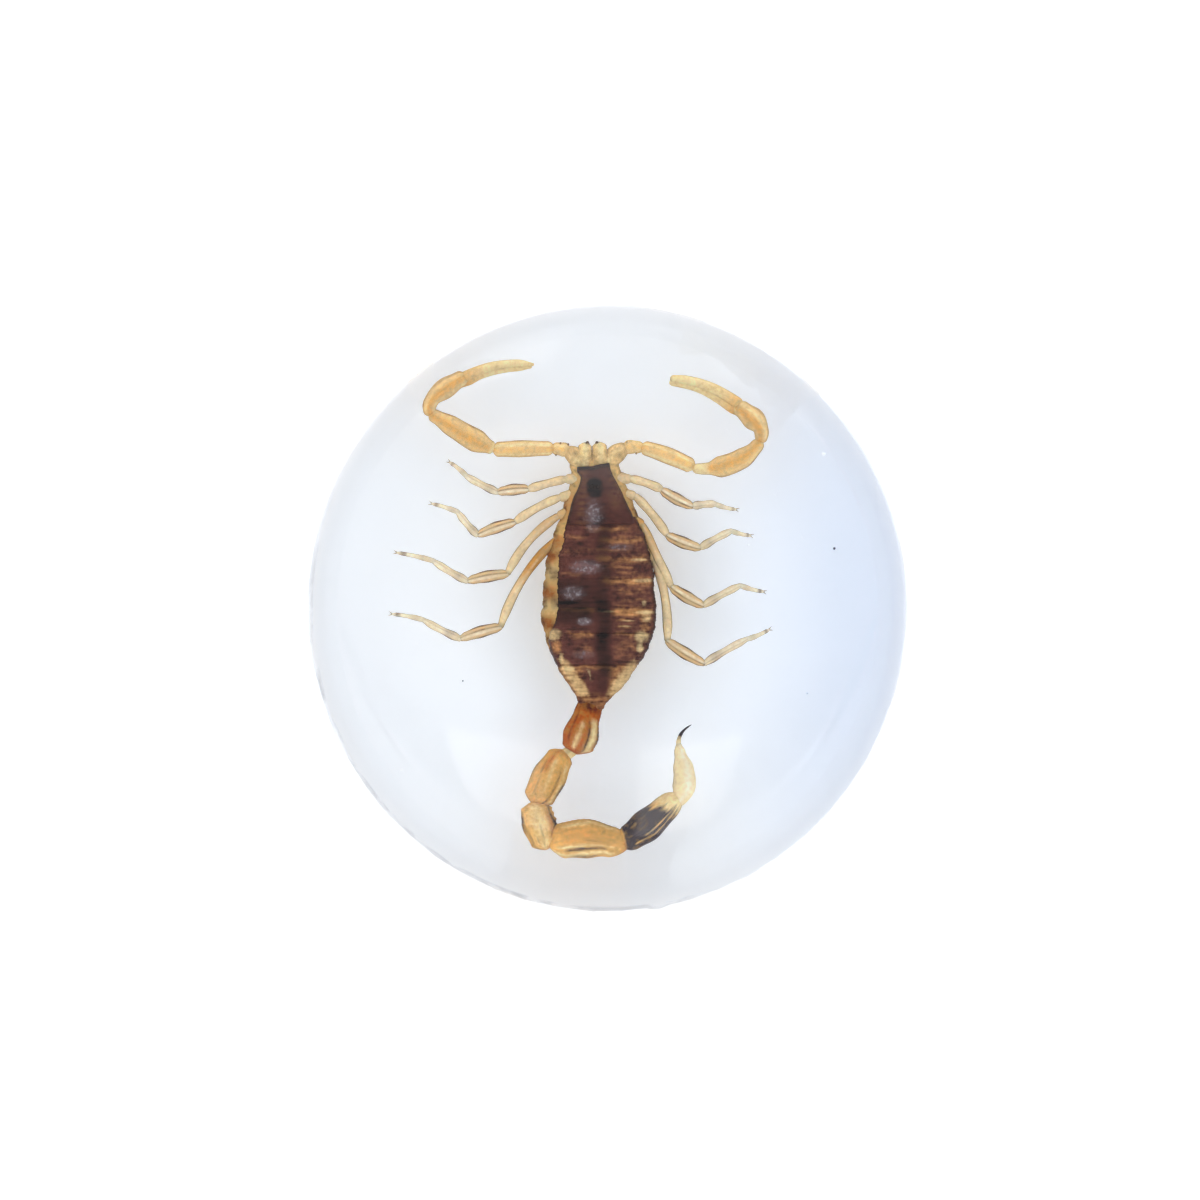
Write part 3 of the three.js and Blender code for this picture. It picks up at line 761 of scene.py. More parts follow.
# %% One arm
def arm(name, root, upper, fore, palm, fixed, free, pegs, fore_stops, finger_stops):
    """One arm, from the points of its sections."""
    slim_stops = [[0, 0.2], [0.14, 0.36]] + [[at, 0.86 * wide] for at, wide in finger_stops[1:]]
    sections = [
        [root, [[0, 0.4], [0.3, 0.52], [0.65, 0.46], [1, 0.4]], 0.85, 30, 24,
         {"marks": arm_marks(0.35, 0.3, 0.35, 0.9)}],
        [upper, [[0, 0.38], [0.12, 0.54], [0.55, 0.62], [0.9, 0.56], [1, 0.38]], 0.85, 60, 32,
         {"marks": arm_marks(0.45, 0.8, 0.3), "relief": boxy, "square": 2.3}],
        [fore, fore_stops, 0.8, 60, 32, {"marks": arm_marks(0.45, 0.0, 0.85, 0.3, fore_stops[1][0])}],
        [palm, [[0, 0.44], [0.3, 0.54], [0.66, 0.82], [0.9, 0.62], [1, 0.42]], 0.85, 60, 32,
         {"marks": arm_marks(0.4, 0.3, 0.85)}],
        [fixed, finger_stops, 0.85, 70, 24, {"marks": fixed_marks}],
        [free, slim_stops, 0.85, 70, 24, {"marks": free_marks}],
    ]
    parts = [limb(*numbers, **more) for *numbers, more in sections]
    for x, y, z in pegs:
        parts.append(limb([[x - 0.07, y, z], [x + 0.07, y, z]], [[0, 0.1], [1, 0.1]], 0.9, 8, 10,
                          marks=lambda *_: {"dark": 0.8}))
    return piece(name, parts, arm_skin)


# %% Both arms
arm("arm_left",
    root=[[-2.6, 11.0, 5.1], [-3.3, 11.15, 5.12], [-3.95, 11.2, 5.15]],
    upper=[[-3.7, 11.2, 5.15], [-5.9, 11.22, 5.3], [-8.1, 11.2, 5.2]],
    fore=[[-7.9, 11.25, 5.2], [-9.5, 12.0, 5.25], [-11.2, 13.05, 5.2], [-12.65, 13.85, 5.1]],
    palm=[[-12.5, 13.7, 5.1], [-12.5, 14.82, 5.15], [-11.52, 15.74, 5.2], [-9.95, 16.65, 5.15]],
    fixed=[[-10.4, 16.35, 5.2], [-8.9, 17.05, 5.25], [-7.1, 17.4, 5.2], [-5.2, 17.3, 5.1]],
    free=[[-10.5, 15.75, 5.05], [-8.8, 16.65, 5.05], [-7.1, 17.0, 5.05], [-5.35, 17.12, 5.0]],
    pegs=[[-3.3, 11.6, 5.35], [-3.6, 10.75, 5.3], [-2.75, 11.5, 5.3], [-2.3, 11.0, 5.5]],
    fore_stops=[[0, 0.36], [0.06, 0.48], [0.3, 0.84], [0.62, 0.74], [0.88, 0.5], [1, 0.42]],
    finger_stops=[[0, 0.42], [0.3, 0.36], [0.8, 0.28], [1, 0.12]])
arm("arm_right",
    root=[[1.05, 11.25, 5.1], [1.8, 11.3, 5.12], [2.55, 11.25, 5.15]],
    upper=[[2.3, 11.3, 5.15], [4.1, 10.75, 5.3], [6.1, 9.85, 5.2]],
    fore=[[5.9, 9.8, 5.2], [7.9, 9.95, 5.25], [9.65, 10.7, 5.2], [10.85, 11.95, 5.1]],
    palm=[[10.75, 11.75, 5.1], [10.88, 12.7, 5.15], [10.3, 13.5, 5.2], [9.0, 14.6, 5.15]],
    fixed=[[9.5, 14.4, 5.2], [8.0, 15.4, 5.25], [6.3, 16.08, 5.2], [4.42, 16.3, 5.1]],
    free=[[9.6, 13.65, 5.05], [7.8, 14.9, 5.05], [6.3, 15.66, 5.05], [4.36, 16.04, 5.05]],
    pegs=[[1.35, 11.66, 5.35], [0.95, 11.25, 5.3], [2.0, 10.85, 5.3], [2.75, 11.62, 5.35]],
    fore_stops=[[0, 0.36], [0.18, 0.44], [0.34, 0.78], [0.62, 0.74], [0.88, 0.5], [1, 0.42]],
    finger_stops=[[0, 0.42], [0.3, 0.38], [0.8, 0.33], [1, 0.28]])

# %% [markdown]
# ## Eight legs
# A leg has a hip, a thigh, a swollen knee piece, a shin and a fine foot with two claws. The knee
# piece is pinkish with a brown line down each side, partly keel pigment and partly painted edge
# shade, and a pale painted highlight along its middle. All legs are made from one recipe, with
# six joint places for each, because they differ only in where they go.

# %% Places and girths of the legs
LEG_JOINTS = {
    "leg_left_1": [[-1.3, 9.0, 4.9], [-2.9, 9.0, 5.0], [-5.5, 8.3, 5.1], [-7.6, 8.1, 4.8],
                   [-9.9, 9.3, 4.4], [-11.0, 10.2, 4.1]],
    "leg_left_2": [[-1.4, 8.1, 4.9], [-3.3, 7.7, 5.0], [-6.4, 6.0, 5.1], [-9.0, 5.1, 4.8],
                   [-10.4, 6.7, 4.4], [-12.2, 7.3, 4.1]],
    "leg_left_3": [[-1.4, 7.2, 4.9], [-3.4, 6.4, 5.0], [-6.9, 2.4, 5.1], [-9.7, 1.9, 4.8],
                   [-12.1, 3.3, 4.4], [-14.7, 3.9, 4.1]],
    "leg_left_4": [[-1.4, 6.3, 4.9], [-3.6, 4.7, 5.0], [-7.4, -1.3, 5.1], [-10.2, -2.1, 4.8],
                   [-12.8, -0.8, 4.4], [-15.0, -0.4, 4.1]],
    "leg_right_1": [[-0.4, 9.0, 4.9], [1.6, 9.0, 5.0], [3.75, 8.25, 5.1], [5.9, 7.1, 4.9],
                    [7.5, 7.25, 4.5], [8.8, 6.9, 4.1]],
    "leg_right_2": [[-0.3, 8.1, 4.9], [1.9, 7.8, 5.0], [4.1, 5.1, 5.1], [6.4, 4.2, 4.8],
                    [8.6, 5.4, 4.4], [9.8, 5.1, 4.1]],
    "leg_right_3": [[-0.2, 7.2, 4.9], [2.4, 5.8, 5.0], [4.4, 1.5, 5.1], [6.6, 0.2, 4.8],
                    [9.2, 1.6, 4.4], [10.7, 1.2, 4.1]],
    "leg_right_4": [[-0.1, 6.3, 4.9], [3.2, 3.4, 5.0], [4.1, -2.2, 5.1], [6.7, -3.8, 4.8],
                    [9.7, -2.1, 4.4], [11.1, -1.5, 4.1]],
}
# How far a thigh bows aside, and how orange its root is.
LEG_BOWS = {"leg_left_1": 0.05, "leg_left_2": 0.15, "leg_left_3": 0.42, "leg_left_4": 0.5,
            "leg_right_1": -0.1, "leg_right_2": -0.12, "leg_right_3": 0.0, "leg_right_4": -0.33}
LEG_ROOTS = {"leg_left_4": 0.95, "leg_left_3": 0.3, "leg_right_3": 0.4, "leg_right_4": 0.15}
LEG_GIRTHS = [
    [[0, 0.3], [0.5, 0.42], [1, 0.34]],
    [[0, 0.24], [0.2, 0.33], [0.45, 0.3], [0.8, 0.34], [1, 0.22]],
    [[0, 0.2], [0.18, 0.36], [0.5, 0.43], [0.82, 0.34], [1, 0.18]],
    [[0, 0.2], [0.22, 0.31], [0.48, 0.25], [0.75, 0.28], [1, 0.17]],
    [[0, 0.18], [0.3, 0.2], [0.55, 0.15], [0.85, 0.14], [1, 0.08]],
]
# One value for hip, thigh, knee piece, shin and foot.
LEG_SAGS = (0.0, 0.12, 0.08, 0.03, 0.08)
# Side lines are partly keel pigment and partly painted edge shade; pale crowns are painted highlights.
SIDE_LINES_AND_EDGE_SHADE = (0.3, 0.7, 1.1, 0.6, 0.5)
CROWN_LINES = (0.0, 0.0, 0.55, 0.2, 0.0)
WARMTHS = (0.2, 0.1, 0.4, 0.05, 0.0)
PAINTED_HIGHLIGHT_LINES = (0.0, 0.2, 0.8, 0.4, 0.2)
PALENESSES = (0.0, 0.0, 0.0, 0.3, 0.5)


# %% Marks of a leg
def leg_marks(part, root=0.0):
    """Brown lines down both sides, partly keel pigment and partly painted edge shade, strongest on
    the knee piece, a painted highlight line along the middle, and a grey smudge near the foot.

    Root is how orange the hip and the first half of the thigh are."""
    def marks(share, across, above, x, y):
        # Painted edge shade: brown at both sides, partly keel pigment.
        side_line_and_edge_shade = SIDE_LINES_AND_EDGE_SHADE[part] * step(0.72, 0.93, np.abs(across))
        side_line_and_edge_shade = side_line_and_edge_shade * (0.75 + 0.25 * np.sin(share * 9 + 2 * part))
        side_line_and_edge_shade = side_line_and_edge_shade + CROWN_LINES[part] * spot(across, 0.28, 0.1)
        joint = 0.55 * step(0.92, 1.0, share) * (part in (1, 2))
        tip = 0.6 * spot(share, 0.83, 0.08) * (part == 4) + 0.25 * spot(share, 0.3, 0.15) * (part > 2)
        stain = root * (1.0, step(0.62, 0.3, share), 0, 0, 0)[part]
        return {"dark": side_line_and_edge_shade + joint + tip, "warm": stain + WARMTHS[part] + 0 * x,
                # Painted highlight: a pale line along the middle of the leg.
                "pale": PAINTED_HIGHLIGHT_LINES[part] * spot(across, -0.15, 0.2) + PALENESSES[part]}
    return marks


# %% Eight legs
def sagging(first, last, bow, aside):
    """Three points from first to last, with the middle one moved up and to the right."""
    first, last = np.array(first), np.array(last)
    right = np.cross(last - first, UP)
    return [first, (first + last) / 2 + UP * bow + right / np.linalg.norm(right) * aside, last]


def coxa_marks(share, across, *_):
    """The innermost joint under the body: a little warm, with brown sides."""
    return {"dark": 0.5 * step(0.75, 0.97, np.abs(across)), "warm": 0.15}


for name, joints in LEG_JOINTS.items():
    parts = []
    for i, bow in enumerate(LEG_SAGS):
        first, last = np.array(joints[i]), np.array(joints[i + 1])
        reach = (last - first) / np.linalg.norm(last - first) * 0.12
        aside = (0.0, LEG_BOWS[name], 0.08, -0.06, 0.06)[i]
        route = sagging(first - reach, last + reach, bow, aside)
        stain = leg_marks(i, LEG_ROOTS.get(name, 0))
        parts.append(limb(route, LEG_GIRTHS[i], 0.85, 44, 24, marks=stain))
    heading = np.array(joints[5]) - np.array(joints[4])
    heading /= np.linalg.norm(heading)
    aside = np.cross(heading, UP)
    for way in (-1, 1):
        tip = np.array(joints[5])
        claw = [tip, tip + 0.2 * heading + 0.08 * way * aside,
                tip + 0.34 * heading + 0.16 * way * aside - 0.08 * UP]
        parts.append(limb(claw, [[0, 0.05], [1, 0.015]], 0.9, 10, 8, marks=lambda *_: {"dark": 0.6}))
    inner = np.array([-0.4 if "right" in name else -1.1, joints[0][1] + 0.25, 4.12])
    outer = np.array(joints[1]) * [0.93, 1, 1] - [0, 0, 0.35]
    parts.append(limb([inner, (inner + outer) / 2 - 0.05 * UP, outer],
                      [[0, 0.3], [0.6, 0.4], [1, 0.3]], 0.7, 30, 20, marks=coxa_marks))
    piece(name, parts, leg_skin)

# %% [markdown]
# ## The tail
# Five ring-like segments with saw-toothed keels, and pale skin that shows where the first two
# meet. The first segment is reddish, the middle ones amber and the fifth dark purple grey. The
# tail lies on its side, so a keel runs down the middle of each.

# %% Keels and stripes
def crenulated(depth, teeth):
    """Six keels round the segment: a bell in the turn at each, times a cosine of the share, which
    cuts it into fine teeth."""
    def relief(share, turn):
        keels = sum(spot(turn, at, 0.13) for at in (0.35, 1.25, 2.15, 2.95, 4.0, 5.4))
        return depth * keels * (0.6 + 0.4 * np.cos(share * teeth * 2 * np.pi))
    return relief


def tail_marks(edge, stripes, warm=0.0, joint=0.35):
    """Dark outlines, partly keel pigment and partly painted edge shade, and a warm joint, with
    stripes along the segment.

    A stripe is its mark, its place across at both ends, its width, strength, first and last share."""
    def marks(share, across, above, x, y):
        broken = 0.6 + 0.4 * np.sin(9 * share + 4 * np.sign(across))
        fibres = np.clip(np.sin(21 * across + 2 * np.sin(6 * share + 5 * edge)), 0, 1) ** 4
        # Painted edge shade: the dark outline at both sides is partly keel pigment and partly shade.
        made = {"dark": edge * step(0.84, 0.98, np.abs(across)) * broken + 0.12 * fibres,
                "warm": warm + joint * step(0.9, 1.0, share) + 0 * x, "pale": 0 * x}
        for mark, start, end, width, deep, first, last in stripes:
            bent = start + (end - start) * share + 0.06 * np.sin(7 * share)
            gate = step(first - 0.06, first + 0.06, share) * step(last + 0.06, last - 0.06, share)
            made[mark] = made[mark] + deep * spot(across, bent, width) * gate
        return made
    return marks


# %% Stripes of the first four segments
FIRST_STRIPES = [["pale", -0.75, -0.6, 0.24, 1.0, 0.42, 0.95],
                 ["dark", -0.3, -0.42, 0.07, 0.9, 0.45, 0.95],
                 ["pale", -0.15, 0.3, 0.14, 0.7, 0.5, 0.9],
                 ["dark", 0.0, 0.0, 0.8, 0.7, -0.1, 0.3],
                 ["dark", 0.55, 0.75, 0.06, 0.4, 0.3, 0.8]]
SECOND_STRIPES = [["warm", 0.4, 0.3, 0.2, 0.4, 0.0, 0.45],
                  ["dark", -0.5, -0.55, 0.06, 0.7, 0.3, 1.0],
                  ["pale", 0.05, -0.1, 0.14, 0.5, 0.2, 0.8],
                  ["pale", -0.8, -0.8, 0.1, 0.6, 0.2, 0.9],
                  ["dark", 0.6, 0.45, 0.04, 0.35, 0.3, 0.9]]
THIRD_STRIPES = [["pale", 0.0, 0.1, 0.45, 0.6, 0.05, 1.0],
                 ["dark", -0.86, -0.82, 0.09, 0.8, 0.1, 0.95],
                 ["dark", 0.9, 0.86, 0.06, 0.45, 0.2, 0.95],
                 ["dark", -0.2, 0.15, 0.04, 0.35, 0.5, 0.95],
                 ["warm", -0.7, -0.6, 0.2, 0.5, 0.2, 0.8],
                 ["dark", 0.35, 0.5, 0.03, 0.4, 0.55, 0.95]]
FOURTH_STRIPES = [["dark", 0.62, 0.66, 0.055, 1.0, 0.2, 0.75],
                  ["pale", 0.86, 0.86, 0.09, 0.8, 0.05, 0.9],
                  ["pale", 0.46, 0.5, 0.07, 0.6, 0.1, 0.9],
                  ["warm", -0.1, 0.0, 0.4, 0.1, 0.2, 0.8],
                  ["dark", 0.22, 0.3, 0.03, 0.35, 0.3, 0.8],
                  ["pale", -0.75, -0.7, 0.12, 0.5, 0.2, 0.8],
                  ["dark", -0.1, 0.02, 0.025, 0.25, 0.35, 0.7]]


# %% The stain of the fifth segment, and the skin between two segments
def fifth_marks(share, across, above, x, y):
    """Purple-grey over the middle, with pale streaks below and a frayed peach end."""
    torn = 0.05 * np.sin(8 * across) + 0.035 * np.sin(21 * across + 1)
    stain = step(0.06, 0.13, share + 0.05 * across) * step(0.8, 0.62, share - 0.12 * across + torn)
    low = across - 0.1 * np.sin(3 * share)
    streaks = spot(low, 0.42, 0.05) * step(0.25, 0.35, share)
    streaks = streaks + spot(low, 0.66, 0.05) * step(0.12, 0.2, share) + 0.4 * spot(low, -0.5, 0.05)
    streaks = streaks + 0.45 * spot(low, 0.05, 0.04) * step(0.55, 0.3, share)
    streaks = streaks + 0.5 * spot(low, -0.2, 0.05) * step(0.35, 0.6, share)
    edge = 0.45 * step(0.85, 0.97, np.abs(across))
    return {"dark": 1.35 * stain - 1.3 * streaks * stain + edge,
            "pale": 0.75 * step(0.6, 0.85, share) + 0.3 * streaks,
            "warm": 0.5 * step(0.1, 0.0, share) + 0.25 * step(0.7, 0.9, share)}


def joint_marks(share, across, above, x, y):
    """Pale yellow skin with one dark line."""
    return {"pale": 0.9 + 0 * x, "dark": 0.85 * spot(across, 0.15, 0.13)}


# %% Tail
# A segment is its path, its girth along the path, its teeth and its marks.
TAIL = [
    [[[-0.95, -6.0, 4.85], [-1.68, -8.2, 5.2], [-2.2, -10.15, 5.1]],
     [[0, 0.8], [0.32, 0.94], [0.66, 1.25], [0.87, 1.1], [1, 0.72]],
     crenulated(0.05, 16), tail_marks(0.85, FIRST_STRIPES, 0.85)],
    [[[-3.0, -9.9, 5.1], [-4.1, -11.8, 5.15], [-5.1, -13.9, 5.1]],
     [[0, 0.6], [0.15, 0.95], [0.5, 1.22], [0.85, 1.1], [1, 0.8]],
     crenulated(0.05, 16), tail_marks(0.85, SECOND_STRIPES, 0.12, 0.06)],
    [[[-5.1, -13.6, 5.1], [-4.85, -15.3, 5.15], [-4.3, -17.1, 5.1]],
     [[0, 0.8], [0.2, 1.1], [0.5, 1.22], [0.85, 0.95], [1, 0.6]],
     crenulated(0.11, 7), tail_marks(0.75, THIRD_STRIPES)],
    [[[-4.2, -16.8, 5.1], [-1.5, -16.3, 5.15], [1.45, -16.95, 5.1]],
     [[0, 0.76], [0.19, 1.28], [0.5, 1.43], [0.8, 1.12], [1, 0.64]],
     crenulated(0.03, 18), tail_marks(0.6, FOURTH_STRIPES, 0.05)],
    [[[0.85, -16.7, 5.1], [2.95, -15.2, 5.15], [5.0, -13.1, 5.1]],
     [[0, 0.68], [0.2, 1.0], [0.45, 1.2], [0.75, 1.0], [1, 0.76]],
     crenulated(0.05, 20), fifth_marks],
]
tail = [limb(points, girths, 0.85, 110, 56, relief=teeth, marks=stains)
        for points, girths, teeth, stains in TAIL]
tail.append(limb([[-1.9, -9.4, 5.1], [-3.4, -10.6, 5.1]], [[0, 0.45], [1, 0.45]], 0.8, 20, 20,
                 marks=joint_marks))
piece("tail", tail, tail_skin)

# %% [markdown]
# ## The sting
# The last part of the tail is a bulb that held the venom, cream and nearly clear, and a hollow
# needle that darkens to black. Both are tubes along a curve of four points: the bulb swells
# early and ends slim, where the needle starts inside it, so that no joint shows.

# %% Sting bulb and needle
def bulb_marks(share, across, *_):
    """Painted shade down the left side, a grey neck, a pale crown, and a little warmth at the root."""
    # The grey of the left side is painted shade.
    return {"dark": 0.35 * step(0.75, 0.97, -across) + 0.3 * step(0.9, 1.0, share),
            "pale": 0.5 * spot(across, 0.4, 0.3), "warm": 0.15 * step(0.25, 0.0, share)}


bulb = limb([[4.75, -13.9, 5.1], [5.4, -12.3, 5.15], [5.2, -10.7, 5.15], [4.95, -9.3, 5.1]],
            [[0, 0.45], [0.3, 0.84], [0.55, 0.74], [0.8, 0.42], [1, 0.16]], 0.9, 90, 40,
            marks=bulb_marks)
needle = limb([[4.96, -9.6, 5.1], [5.0, -9.0, 5.1], [5.3, -8.5, 5.1], [5.85, -8.1, 5.1]],
              [[0, 0.2], [0.4, 0.13], [0.8, 0.07], [1, 0.03]], 0.95, 40, 16,
              marks=lambda share, *_: {"dark": step(0.15, 0.5, share)})
piece("sting", [bulb, needle], sting_skin)

# %% [markdown]
# ## The resin dome
# The dome is cast upside down in a cup, so its round side is smooth and its flat back is where
# the resin was poured. Its outline is a lathe profile: a short wall, a shoulder drawn as one
# smooth Bezier curve, and a shallow cap that is part of a sphere. The lower shoulder was rubbed
# down by hand, which left a faint crease there, a small nub and a rough stretch of edge. A lathe
# by formula keeps it closed and exact. The two halves of the frame part at the pour line, and
# this one piece stands for both.

# %% Resin surface
DOME_RADIUS = 22.5
OUT_OF_ROUND = 1.012
BACK_TO_ROUND = 0.988
WALL_HEIGHT = 2.0
BACK_BEVEL = 0.3
DOME_TOP = 14.18
CAP_SPHERE = 40.0
CAP_EDGE = 16.2
SHOULDER_REACH = (3.2, 5.5)
CREASE = 18.6
DOME_SIDES = 540


def dome_profile():
    """Radius and height from the back's middle, up the wall and shoulder, to the top.

    The bevel is a quarter circle. The cap falls below its top by R less the root of R squared
    less r squared, as a sphere does. The shoulder is a cubic Bezier curve, which leaves the wall
    upright and meets the cap at the cap's own slope."""
    back = np.stack([np.linspace(0.5, DOME_RADIUS - BACK_BEVEL, 12), np.zeros(12)], -1)
    bend = np.linspace(-np.pi / 2, 0, 7)[1:]
    bevel = np.stack([DOME_RADIUS - BACK_BEVEL + BACK_BEVEL * np.cos(bend),
                      BACK_BEVEL + BACK_BEVEL * np.sin(bend)], -1)
    wall = np.stack([np.full(8, DOME_RADIUS), np.linspace(BACK_BEVEL, WALL_HEIGHT, 9)[1:]], -1)
    reach = np.linspace(CAP_EDGE, 0.35, 48)
    drop = CAP_SPHERE - np.sqrt(CAP_SPHERE**2 - reach**2)
    cap = np.stack([reach, DOME_TOP - drop], -1)
    slope = math.asin(CAP_EDGE / CAP_SPHERE)
    low, high = np.array([DOME_RADIUS, WALL_HEIGHT]), cap[0]
    pull_low = low + [0, SHOULDER_REACH[1]]
    pull_high = high + SHOULDER_REACH[0] * np.array([math.cos(slope), -math.sin(slope)])
    t = np.linspace(0, 1, 60)[1:-1, None]
    shoulder = ((1 - t) ** 3 * low + 3 * t * (1 - t) ** 2 * pull_low + 3 * t**2 * (1 - t) * pull_high
                + t**3 * high)
    return np.concatenate([back, bevel, wall, shoulder, cap])


print("points in the dome's profile:", len(dome_profile()))

# %% [markdown]
# ### Turning the profile
# A turned body would be quite even. The real one was trimmed by hand, so the lower edge in
# front is a little short of the circle and rough, with one small nub, and the cap has a faint
# crease and low waves that bend what is seen through it.

# %% Turned dome
def dome_shape():
    """The profile turned round the upright axis, with a rough lower rim.

    At each angle, x is the radius times the cosine, and y the radius times the sine and a little
    more. The ripple and the sag are sums and products of sines of the angle, the nub is a bell in
    the angle, and the crease falls off on both sides as e to the minus distance."""
    profile = dome_profile()
    angle = -np.arange(DOME_SIDES) / DOME_SIDES * 2 * np.pi
    radius, height = profile[:, :1], profile[:, 1:]
    low = step(4.4, 2.2, height) * step(18.0, 22.0, radius)
    front = step(0.1, -0.35, np.sin(angle))
    ripple = 0.5 * np.sin(23 * angle + 1.0) + 0.3 * np.sin(57 * angle) + 0.2 * np.sin(131 * angle)
    ripple = ripple + 0.4 * np.sin(197 * angle) * np.sin(7 * angle)
    nub = spot(np.degrees(angle), -80.5, 1.6) * 0.35
    wear = -0.08 * (1.0 - ripple) * low * front + nub * low * 0.5
    crease = front * step(0.25, 0.6, np.abs(np.cos(angle))) * (height > 3)
    height = height - 0.05 * crease * np.exp(-np.abs(radius - CREASE) / 0.5)
    sag = 0.015 * np.sin(0.42 * radius + 2 * angle) * np.sin(3 * angle + 1) * (height > 3)
    height = height + sag * step(0.0, 9.0, radius)
    radius = radius + wear
    points = np.stack([radius * np.cos(angle), radius * np.sin(angle) * OUT_OF_ROUND,
                       np.broadcast_to(height, radius.shape)], -1).reshape(-1, 3)
    poles = np.array([[0, 0, 0], [0, 0, profile[-1, 1] + 0.0015]])
    return np.concatenate([points, poles]), *grid_faces(len(profile), DOME_SIDES), {}


# %% [markdown]
# ### Clear resin
# Plain transmission with the refraction of polyester resin, and a faint loss of red in its
# depth. The loss is a volume absorption on the whole body, so thick places are bluer. A group
# gives the colour of the dome's skin: a painted bluish light on the right, and a grey darkening
# along the lower-left edge near the back, broken by noise.

# %% Painted blue light and grey lower edge of the dome's skin
PAINTED_BLUE_LIGHT = "E4ECFA"
LOW_EDGE_GREY = "8A8C94"
LOW_EDGE_NOISE = 420.0
blue_light_and_grey_group, given, out = new_group("resin_blue_light_and_grey_edge", {"Clear": "Color"}, {"Color": "Color"})
tree = blue_light_and_grey_group
place = own_place(tree)
axes = node(tree, "ShaderNodeSeparateXYZ", Vector=place).outputs
# Painted light: the skin turns bluish towards the right.
blue_light_share = reach_ramp(tree, axes[0], 4.0, 24.0)
layer = blend(tree, times(tree, blue_light_share, 0.8), given["Clear"], chart(PAINTED_BLUE_LIGHT))
# Grey towards the lower-left edge, low down and near the rim; noise breaks it up.
down_left = plus(tree, times(tree, axes[0], -0.7), times(tree, axes[1], -0.7))
low_edge_side = reach_ramp(tree, down_left, 4.0, 18.0)
flat_place = node(tree, "ShaderNodeVectorMath", {"operation": "MULTIPLY"}, i0=place,
                  i1=(1.0, BACK_TO_ROUND, 0.0)).outputs[0]
from_axis = node(tree, "ShaderNodeVectorMath", {"operation": "LENGTH"}, i0=flat_place).outputs["Value"]
low_edge_height = times(tree, reach_ramp(tree, times(tree, axes[2], -1.0), -6.0, -4.6),
                 reach_ramp(tree, from_axis, 21.7, 22.1))
low_edge_breakup = noise(tree, place, LOW_EDGE_NOISE, 5.0)
low_edge_share = times(tree, low_edge_side, low_edge_height, ramp(tree, low_edge_breakup, 0.3, 0.62))
tree.links.new(blend(tree, low_edge_share, layer, chart(LOW_EDGE_GREY)), out.inputs["Color"])

# %% [markdown]
# ### The clear finish
# The painted blue light and the grey edge go to the base colour of a plain glass-like shader.
# The absorption is a volume, and goes straight to the material's output.

# %% Clear resin
RESIN_COLOUR = "FDFEFF"
RESIN_IOR = 1.5
LOSS_COLOUR = (0.86, 0.92, 0.985, 1)
LOSS = 20.0
resin, tree, shader = new_finish("clear_resin_finish", Transmission_Weight=1.0, Roughness=0.0,
                                 IOR=RESIN_IOR)
blue_light_and_grey = node(tree, "ShaderNodeGroup", {"node_tree": blue_light_and_grey_group}, Clear=chart(RESIN_COLOUR))
tree.links.new(blue_light_and_grey.outputs[0], shader.inputs["Base Color"])
depth = node(tree, "ShaderNodeVolumeAbsorption", Color=LOSS_COLOUR, Density=LOSS)
tree.links.new(depth.outputs[0], tree.nodes["Material Output"].inputs["Volume"])
piece("resin_block", [dome_shape()], resin, ("resin_lower", "resin_upper"))

# %% [markdown]
# ## Specks in the resin
# A few grains of dust and tiny bubbles were caught when the resin was poured. Each is a small
# egg on a slant. The bubbles have a faint white emission, a painted glow for the light they
# catch.

# %% Finish of a speck
SPECK_NOISE = 9000.0


def speck_finish(name, code, painted_glow):
    """A plain rough finish with a little noise in its colour, and a white emission as strong as the
    glow given: a painted glow, which only the bubbles have.
    """
    material, tree, shader = new_finish(name, Roughness=0.6, Emission_Color=(1, 1, 1, 1),
                                        Emission_Strength=painted_glow)
    share = ramp(tree, noise(tree, own_place(tree), SPECK_NOISE), 0.3, 0.7)
    shade = [c * 0.7 for c in chart(code)[:3]] + [1]
    tree.links.new(blend(tree, share, chart(code), shade), shader.inputs["Base Color"])
    return material


# %% Bubbles and dust
# A speck is its x, y, height and radius.
PALE_SPECKS = [[15.5, 11.1, 6.0, 0.15], [9.9, 4.5, 6.2, 0.07], [19.2, 8.7, 4.0, 0.06],
               [13.8, 5.0, 6.0, 0.06], [11.8, 8.0, 5.5, 0.06], [8.5, 12.7, 6.0, 0.05],
               [-14.8, -11.6, 6.0, 0.07], [-13.5, -2.5, 6.0, 0.05]]
DARK_SPECKS = [[16.2, 4.3, 6.0, 0.085], [-10.2, -5.1, 6.5, 0.055], [14.1, -6.0, 5.0, 0.04]]
# The bubbles glow a little: a painted glow, an emission of 0.35.
for name, rows, code, painted_glow in (("bubbles_in_resin", PALE_SPECKS, "FFFFFF", 0.35),
                                ("dust_in_resin", DARK_SPECKS, "55525A", 0.0)):
    grains = [limb([[x - r, y - 0.6 * r, z], [x + r, y + 0.6 * r, z + 0.3 * r]],
                   [[0, r], [0.5, r * 1.1], [1, r * 0.7]], 0.8, 12, 12) for x, y, z, r in rows]
    piece(name, grains, speck_finish(name + "_finish", code, painted_glow), ())

# %% [markdown]
# ## Floor, light and camera
# The dome lies on a white sheet, lit a little from behind, in a light tent: white from all
# sides, a little bluer from the right, with two soft panels overhead and in front, which the cap
# mirrors as two pale windows. The panels are painted into the world by direction, which gives
# less noise through glass than lamps do. The sheet is a stage, so it isn't part of the object.

